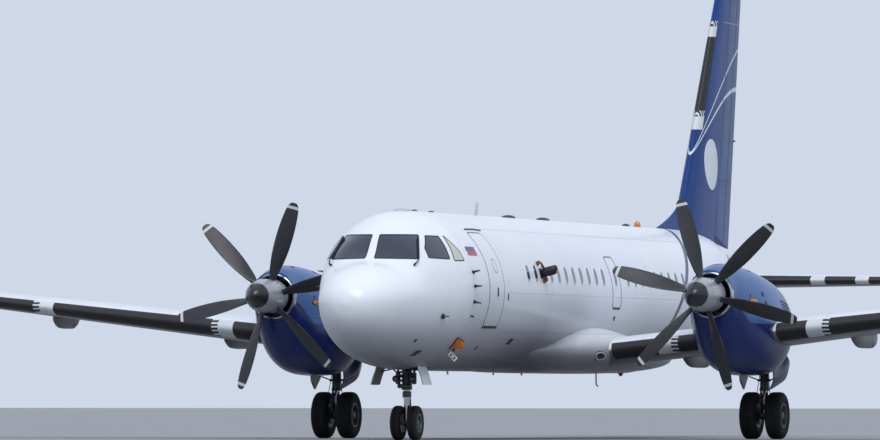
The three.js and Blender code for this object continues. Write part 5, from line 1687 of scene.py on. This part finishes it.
def hub(wheel, centre, sign):
    """A dished wheel: flanges beyond the tyre's bead, a flat dish outside, and a cap over the axle's end."""
    half, edge, axle = wheel["width"] * 0.4, wheel["rim"], wheel["axle"]
    inside = [(0, axle * 1.3), (0, edge - 0.05), (-0.012, edge - 0.02), (-0.012, edge + 0.01),
              (0, edge + 0.012), (0, edge)]
    outside = [(0, edge), (0, edge + 0.012), (0.012, edge + 0.01), (0.012, edge - 0.02), (0, edge - 0.03),
               (-0.07, edge - 0.05), (-0.07, axle * 2.1), (-0.05, axle * 1.9), (-0.01, axle * 1.6),
               (-0.005, axle * 1.3), (-0.005, 0.003)]
    profile = [(at - half, radius) for at, radius in inside] + [(at + half, radius) for at, radius in outside]
    return turned("hub", profile, centre, (sign, 0, 0), 64)


def wheel_pair(wheel, centre, material):
    """Two hubs, their axle, and a ring of bolts on each outer face."""
    apart = Vector((wheel["spacing"] / 2, 0, 0))
    pieces = [hub(wheel, centre + apart, 1), hub(wheel, centre - apart, -1),
              rod(centre - apart, centre + apart, wheel["axle"])]
    dish = wheel["width"] * 0.4 - 0.07
    ring = wheel["rim"] * 0.62
    for sign in (1, -1):
        bolt = rod((sign * (dish - 0.005), 0, ring), (sign * (dish + 0.014), 0, ring), 0.012, sides=6)
        pieces.append(round_the_axis("bolts", "X", bolt, wheel["bolts"], 0, centre + apart * sign, material))
        bpy.data.objects.remove(bolt)
    return merged("hubs", *pieces)


main_centre = Vector((NACELLE_X, MAIN_AXLE + AXLE_Y, MAIN["radius"]))
nose_centre = Vector((0, AXLE_Y, NOSE["radius"]))
main_body = BODY_OF["main_hubs_port"].replace("port", "*")
pair(wheel_pair(MAIN, main_centre, WHEEL), "main_hubs_skin", main_body, "wheel_grey", WHEEL, "main_hubs_*")
for place, shift in (("inner", -1), ("outer", 1)):
    name = "main_tyre_" + place
    made = tyre(MAIN, main_centre + Vector((shift * MAIN["spacing"] / 2, 0, 0)))
    pair(made, name + "_skin", main_body, "tyre_rubber", RUBBER, name + "_*")
settle(wheel_pair(NOSE, nose_centre, WHEEL), "nose_wheels", "wheel_grey", WHEEL, "nose_hubs")
made = tyre(NOSE, nose_centre + Vector((NOSE["spacing"] / 2, 0, 0)))
pair(made, "nose_tyre_skin", "nose_wheels", "tyre_rubber", RUBBER, "nose_tyre_*")

# %% [markdown]
# A leg is a thick tube with a bright piston sliding in it. Two links in a scissor behind or before it keep
# the wheels straight, a folding brace holds it fore and aft, and hoses run down to the wheels.

# %% Main legs
def leg_point(x, y, z):
    return Vector((NACELLE_X + x, MAIN_AXLE + AXLE_Y + y, z))


def cross_bar(point, half, y, z, radius, sides=20):
    """A level bar through a leg, from one side to the other."""
    return rod(point(-half, y, z), point(half, y, z), radius, sides=sides)


def scissor(lower, knee, upper, spread, radius):
    """Two forked links between a low and a high lug, and the pin at their knee."""
    pin, lug_pin = Vector((0.05, 0, 0)), Vector((spread * 1.4, 0, 0))
    pieces = [rod(knee - pin, knee + pin, radius * 0.8, sides=14)]
    for lug in (lower, upper):
        for sign in (-1, 1):
            side = Vector((sign * spread, 0, 0))
            pieces.append(rod(lug + side, knee + side * 0.3, radius, radius * 0.7, sides=12))
        pieces.append(rod(lug - lug_pin, lug + lug_pin, radius * 0.9, sides=14))
    return pieces


BOSS = [(0, 0.05), (0.01, 0.072), (0.02, 0.082), (0.14, 0.082), (0.15, 0.072), (0.16, 0.05)]
STRUT = [(0, 0.07), (0, 0.095), (0.05, 0.095), (0.06, 0.084), (0.74, 0.084)]
BRAKE = [(0, 0.15), (0.006, 0.17), (0.016, 0.17), (0.022, 0.15)]
UPRIGHT = (0, 0, 1)
fixed = [turned("strut", STRUT, leg_point(0, 0, 0.9), UPRIGHT, 40),
         turned("boss", BOSS, leg_point(-0.08, 0, 0.44), ACROSS, 40, hoop=True),
         rod(leg_point(0, -0.04, 1.05), leg_point(0, -0.48, 1.58), 0.034, 0.028, 0.034),
         turned("sleeve", [(0, 0.045), (0.06, 0.045)], leg_point(0, -0.24, 1.29), (0, -0.44, 0.53), 24),
         cross_bar(leg_point, 0.25, 0, 1.5, 0.04), cross_bar(leg_point, 0.13, -0.02, 1.1, 0.022)]
fixed += [turned("brake", BRAKE, leg_point(side, 0, 0.44), ACROSS, 40) for side in (-0.105, 0.083)]
fixed += scissor(leg_point(0, -0.06, 0.48), leg_point(0, -0.25, 0.72), leg_point(0, -0.06, 0.96), 0.045, 0.02)
fixed += [rod(leg_point(sign * 0.1, -0.02, 1.1), leg_point(sign * 0.29, -0.02, 1.17), 0.013, sides=12)
          for sign in (-1, 1)]
pair(merged("main_leg_skin", *fixed), "main_leg_skin", *ON_LEG, SHADED_STEEL, "main_leg_*")
piston = turned("piston", [(0, 0.055), (0.03, 0.062), (0.48, 0.062)], leg_point(0, 0, 0.47), UPRIGHT, 40)
pair(piston, "main_piston", *ON_LEG, CHROME)

REAR_HOSE = [(1, 0.07, 1.4), (1.1, 0.1, 1.0), (1.4, 0.12, 0.75), (1.1, 0.08, 0.5)]
FRONT_HOSE = [(1, -0.08, 1.3), (1, -0.12, 1.1), (1.5, -0.14, 0.86), (1, -0.1, 0.55)]
HOSES = [(REAR_HOSE, 0.06, 0.008), (FRONT_HOSE, 0.07, 0.007)]
hoses = [tube([leg_point(sign * reach * out, y, z) for out, y, z in bends], radius, 8)
         for bends, reach, radius in HOSES for sign in (-1, 1)]
pair(merged("main_hoses", *hoses), "main_hoses", *ON_LEG, DARK)

# %% Nose leg
NOSE_STRUT = [(0, 0.094), (0.05, 0.094), (0.06, 0.088), (0.74, 0.088)]
NOSE_BOSS = [(0, 0.036), (0.008, 0.058), (0.016, 0.066), (0.108, 0.066), (0.116, 0.058), (0.124, 0.036)]
ACTUATOR = [(0, 0.03), (0.02, 0.04), (0.24, 0.04), (0.26, 0.03)]
JACK = [(0, 0.02), (0.02, 0.045), (0.2, 0.045), (0.22, 0.02), (0.34, 0.018)]
COLLAR = [(0, 0.07), (0.01, 0.08), (0.1, 0.08), (0.11, 0.07)]
GLAND = [(0, 0.056), (0, 0.084), (0.016, 0.084), (0.016, 0.056)]
STAYS = [
    ((0.07, -0.03, 1.32), (0.41, -0.34, 1.22), 0.012, 12),
    ((0.07, -0.03, 1.12), (0.3, -0.2, 1.36), 0.014, 12),
    ((0.06, -0.03, 1.07), (0.16, -0.05, 1.07), 0.022, 14),
    ((0.06, -0.03, 1.16), (0.16, -0.05, 1.16), 0.022, 14),
]


def nose_point(x, y, z):
    return Vector((x, AXLE_Y + y, z))


strut = turned("strut", NOSE_STRUT, nose_point(0, 0, 0.9), UPRIGHT, 40)
carve(strut, rod(nose_point(0, 0, 0.85), nose_point(0, 0, 1.06), 0.064, sides=40))
upper = [strut, rod(nose_point(0, -0.06, 1.15), nose_point(0, -0.52, 1.6), 0.032, 0.026, 0.032),
         cross_bar(nose_point, 0.399, 0, 1.5, 0.036), cross_bar(nose_point, 0.12, -0.09, 1.22, 0.02),
         turned("actuator", ACTUATOR, nose_point(-0.13, -0.13, 0.97), ACROSS, 24)]
for sign in (-1, 1):
    upper.append(turned("jack", JACK, nose_point(sign * 0.15, -0.05, 1.0), UPRIGHT, 24))
    for (start_x, *start), (end_x, *end), radius, sides in STAYS:
        stay = rod(nose_point(sign * start_x, *start), nose_point(sign * end_x, *end), radius, sides=sides)
        upper.append(stay)
settle(merged("nose_strut_skin", *upper), *ON_LEG, SHADED_STEEL, "nose_strut")
steering = [turned("boss", NOSE_BOSS, nose_point(-0.062, 0, 0.31), ACROSS, 36, hoop=True),
            turned("collar", COLLAR, nose_point(0, 0, 0.77), UPRIGHT, 36)]
steering += [rod(nose_point(side, -0.04, 0.31), nose_point(side, -0.15, 0.31), 0.016, sides=14)
             for side in (-0.03, 0.03)]
steering.append(cross_bar(nose_point, 0.04, -0.14, 0.31, 0.012, 14))
nose_links = [nose_point(0, 0.055, 0.33), nose_point(0, 0.21, 0.56), nose_point(0, 0.07, 0.8)]
steering += scissor(*nose_links, 0.035, 0.017)
settle(merged("nose_steering_skin", *steering), "nose_steering", "gear_steel", SHADED_STEEL, "nose_steering_leg")
nose_piston = turned("piston", [(0, 0.05), (0.02, 0.055), (0.7, 0.055)], nose_point(0, 0, 0.335), UPRIGHT, 40)
settle(nose_piston, "nose_steering", "gear_steel", CHROME)
gland = turned("gland", GLAND, nose_point(0, 0, 0.752), UPRIGHT, 40, hoop=True)
settle(gland, "nose_steering", "gear_steel", CLEAR)

TAXI_LAMP = [(0, 0.055), (0.02, 0.06), (0.05, 0.045), (0.08, 0.015)]
TAXI_LENS = [(-0.008, 0.02), (-0.003, 0.042), (0.004, 0.05)]
lamp_shells, lamp_lenses = [], []
for side in (-0.16, 0.16):
    front = nose_point(side, -0.2, 1.1)
    lamp_shells += [turned("lamp", TAXI_LAMP, front, AFT, 28),
                    rod(front + Vector((0, 0.05, 0)), nose_point(side * 0.5, -0.07, 1.14), 0.013, sides=12)]
    lamp_lenses.append(turned("lens", TAXI_LENS, front, AFT, 28))
settle(merged("taxi_lamps", *lamp_shells), *ON_LEG, DARK)
settle(merged("taxi_lenses", *lamp_lenses), *ON_LEG, COCKPIT)

# %% [markdown]
# The gear doors stay open while the aircraft stands. Each is a bent panel that hangs on the edge of its well,
# with a painted skin outside, a paler liner inside and two goose-neck hinges at its top edge.

# %% Gear doors
DOOR_SKIN, DOOR_LINER = (-0.014, 0.0), (-0.024, -0.0135)
NOSE_DOOR = [(-0.6, 1.43, 0, 1.3, 0.06, 1.13, 0.1, 0.99), (-0.09, 1.43, 0, 1.3, 0.06, 1.13, 0.1, 0.99)]
MAIN_DOOR = [(8.56, 1.42, 0, 1.29, 0.004, 1.1, -0.07, 0.915), (8.9, 1.5, 0, 1.37, 0.055, 1.19, -0.005, 1.01),
             (9.25, 1.56, 0, 1.5, 0.085, 1.32, 0.05, 1.13), (9.47, 1.61, 0, 1.59, 0.07, 1.45, 0.055, 1.31)]
DOOR_CORNER = {"cut": 0.6, "start": 0.8, "run": 0.2}
WALLS = {"nose": 0.3997, "inner": -0.3297, "outer": 0.3297}
LINER = plain("door_liner", rgb(120, 121, 120), 0.5, scale=5, amount=0.25)


def door_curve(row):
    _, top, knee, knee_z, bulge, bulge_z, foot, foot_z = row
    return blend([(0, top), (knee, knee_z), (bulge, bulge_z), (foot, foot_z)], 6)


def gear_door(rows, middle, wall, near, far):
    """A sheet between two distances from the door's curve. Its corners are cut back a little at the foot."""
    rings = []
    rows = blend(rows, 4)
    for at, row in enumerate(rows):
        curve = door_curve(row)
        ends = abs(2 * at / (len(rows) - 1) - 1)
        spare = DOOR_CORNER["cut"] * max(0.0, ends - DOOR_CORNER["start"]) / DOOR_CORNER["run"]
        last = len(curve) - 1
        line = []
        for place in np.linspace(0, last - spare, last + 1):
            start = curve[int(place)]
            line.append(start + (curve[min(int(place) + 1, last)] - start) * (place % 1))
        sign = math.copysign(1, wall)
        sheet = [(out + far, z) for out, z in line] + [(out + near, z) for out, z in reversed(line)]
        rings.append([(middle + wall + sign * out, row[0] + AXLE_Y, z) for out, z in sheet])
    return loft("door", rings)


def goosenecks(rows, middle, wall):
    sign = math.copysign(1, wall)
    arms = []
    for share in (0.2, 0.8):
        row = np.array(rows[0]) * (1 - share) + np.array(rows[-1]) * share
        y, top = row[0] + AXLE_Y, row[1]
        points = [(-0.02, top + 0.02), (-0.06, top - 0.03), (-0.05, top - 0.09), (-0.022, top - 0.12)]
        arms.append(tube([(middle + wall + sign * out, y, z) for out, z in points], 0.01, 8))
    return arms


GEAR_DOORS = [
    ("nose_door", NOSE_DOOR, 0, "nose", DOOR_WHITE, "white_paint"),
    ("main_door_inner", MAIN_DOOR, NACELLE_X, "inner", BLUE, "blue_paint"),
    ("main_door_outer", MAIN_DOOR, NACELLE_X, "outer", BLUE, "blue_paint"),
]
for name, rows, middle, place, paint, door_slot in GEAR_DOORS:
    wall = WALLS[place]
    pair(gear_door(rows, middle, wall, *DOOR_SKIN), name + "_skin", "airframe", door_slot, paint, name + "_*")
    liner = merged("liner", gear_door(rows, middle, wall, *DOOR_LINER), *goosenecks(rows, middle, wall))
    pair(liner, name + "_liner", "airframe", door_slot, LINER)

# %% [markdown]
# The nacelle carries a bright ring round its intake, round vents in its flanks, louvres far back on the
# outboard side and a long amber lamp. Both nacelles are alike, so a fitting is laid on one and moved across.

# %% Nacelle fittings
POD_SHELL = Shell(bpy.data.objects["cowling_port_skin"], bpy.data.objects["gear_nacelle_port_skin"])
LIP_RING = [(0.045, 0.37), (0.0, 0.377), (-0.022, 0.388), (-0.03, 0.403), (-0.022, 0.42), (0.0, 0.431),
            (0.06, 0.437), (0.06, 0.37)]
DUCT = [(0.012, 0.28), (0.0, 0.29), (0.4, 0.288), (0.4, 0.276)]


def on_nacelles(source, name, material):
    """Settles a piece made on the port nacelle and the same piece on the other one."""
    twin = copied(source, name + "_starboard", (-2 * NACELLE_X, 0, 0))
    source.name = name + "_port"
    for piece in (source, twin):
        settle(piece, *ON_BLUE, material)


def vent(view, a, b, half_wide, half_tall):
    return plate(POD_SHELL, view, oval(a, b, half_wide, half_tall, 2, 20), 0.002, rings=3)


on_nacelles(turned("lip_ring", LIP_RING, hub_point(LIP), AFT, 80, hoop=True), "lip_ring", METAL)
on_nacelles(turned("duct", DUCT, hub_point(LIP), AFT, 64, hoop=True), "duct_core", FITTING)
OUTBOARD = from_side(9)
INBOARD = from_side(-1, -1)
VENTS = [
    (OUTBOARD, 6.633, 3.115, 0.07, 0.03),
    (OUTBOARD, 6.51, 2.679, 0.06, 0.048),
    (OUTBOARD, 6.588, 2.506, 0.06, 0.048),
    (OUTBOARD, 7.051, 2.293, 0.055, 0.045),
    (OUTBOARD, 5.964, 2.647, 0.035, 0.028),
    (from_above, NACELLE_X + 0.158, 5.885, 0.05, 0.06),
]
INBOARD_VENTS = [(6.6, 2.6), (7.05, 2.3), (5.88, 2.89)]
louvre_lines = [[(7.5 + step * 0.04, 2.57 - step * 0.06), (8.1, 2.49 - step * 0.06)] for step in range(3)]
vents = [vent(*row) for row in VENTS]
louvres = [strip(POD_SHELL, OUTBOARD, line, 0.02, 0.008) for line in louvre_lines]
on_nacelles(merged("vents", *vents, *louvres), "vents", DARK)
inboard = [vent(INBOARD, a, b, 0.055, 0.042) for a, b in INBOARD_VENTS]
on_nacelles(merged("inboard_vents", *inboard), "inboard_vents", DARK)
LONG_LAMP = (6.04, 2.545)
long_lamp = plate(POD_SHELL, OUTBOARD, oval(*LONG_LAMP, 0.16, 0.045, 2, 24), 0.018)
on_nacelles(long_lamp, "nacelle_lamp", AMBER)
long_lamp_rim = rim(POD_SHELL, OUTBOARD, oval(*LONG_LAMP, 0.18, 0.06, 2, 24), 0.016)
on_nacelles(long_lamp_rim, "nacelle_lamp_rim", DARK)

# %% [markdown]
# Every solid of the frame gets the finish of its slot too, because those that no skin stands for still show.

# %% Carried-over solids
FINISH_OF = {
    "white_paint": HULL, "blue_paint": BLUE, "wing_paint": WING, "propeller_blade": BLADE,
    "spinner_grey": SPINNER_GREY, "gear_steel": SHADED_STEEL, "wheel_grey": WHEEL, "tyre_rubber": RUBBER,
    "engine_metal": ENGINE,
}
PAINT_OF = {"rudder": LIT_RUDDER_BLUE, "rudder_trailing_part": LIT_RUDDER_BLUE, "fin": FIN_BLUE}
slot_of = {part["node"]: part["material_slot"] for part in frame["record"]["subparts"]}
for name, node in frame["nodes"].items():
    node.data.materials.clear()
    node.data.materials.append(PAINT_OF.get(name, FINISH_OF[slot_of[name]]))

# %% [markdown]
# The floor is plain and pale, the sky is an even soft light, and one broad lamp stands for the brighter part
# of an overcast sky. The camera stands far off with a long lens, low down, as in the photograph.

# %% Floor, light and camera
FLOOR_HALF = (900, 1200)
SKY = rgb(207, 216, 232)
SUN = {"energy": 1.6, "spread": 40, "way": (-0.25, 0.55, -0.8)}
LENS = 367.9
CAMERA_PLACE = (47.156, -163.521, 0.648)
YAW = 16.839
PITCH = 1.173
ROLL = -0.048
wide, deep = FLOOR_HALF
corners = [(-wide, -deep, 0), (wide, -deep, 0), (wide, deep, 0), (-wide, deep, 0)]
floor = mesh_object("floor", corners, [(0, 1, 2, 3)])
floor.data.materials.append(plain("floor", rgb(150, 151, 154), 0.9, scale=0.3, grain=4))

scene = bpy.context.scene
scene.world = bpy.data.worlds.new("studio")
scene.world.use_nodes = True
background = scene.world.node_tree.nodes["Background"].inputs
background["Color"].default_value = SKY
background["Strength"].default_value = 1.0
scene.view_settings.view_transform = "Standard"

sun = bpy.data.lights.new("overhead", "SUN")
sun.energy = SUN["energy"]
sun.angle = math.radians(SUN["spread"])
lamp = bpy.data.objects.new("overhead", sun)
lamp.rotation_euler = Vector(SUN["way"]).to_track_quat("-Z", "Y").to_euler()
scene.collection.objects.link(lamp)

camera = bpy.data.objects.new("camera", bpy.data.cameras.new("camera"))
camera.data.lens = LENS
camera.data.sensor_width = 36
camera.data.clip_end = 3000
camera.location = CAMERA_PLACE
camera.rotation_euler = (math.radians(90 + PITCH), math.radians(ROLL), math.radians(YAW))
scene.collection.objects.link(camera)
scene.camera = camera
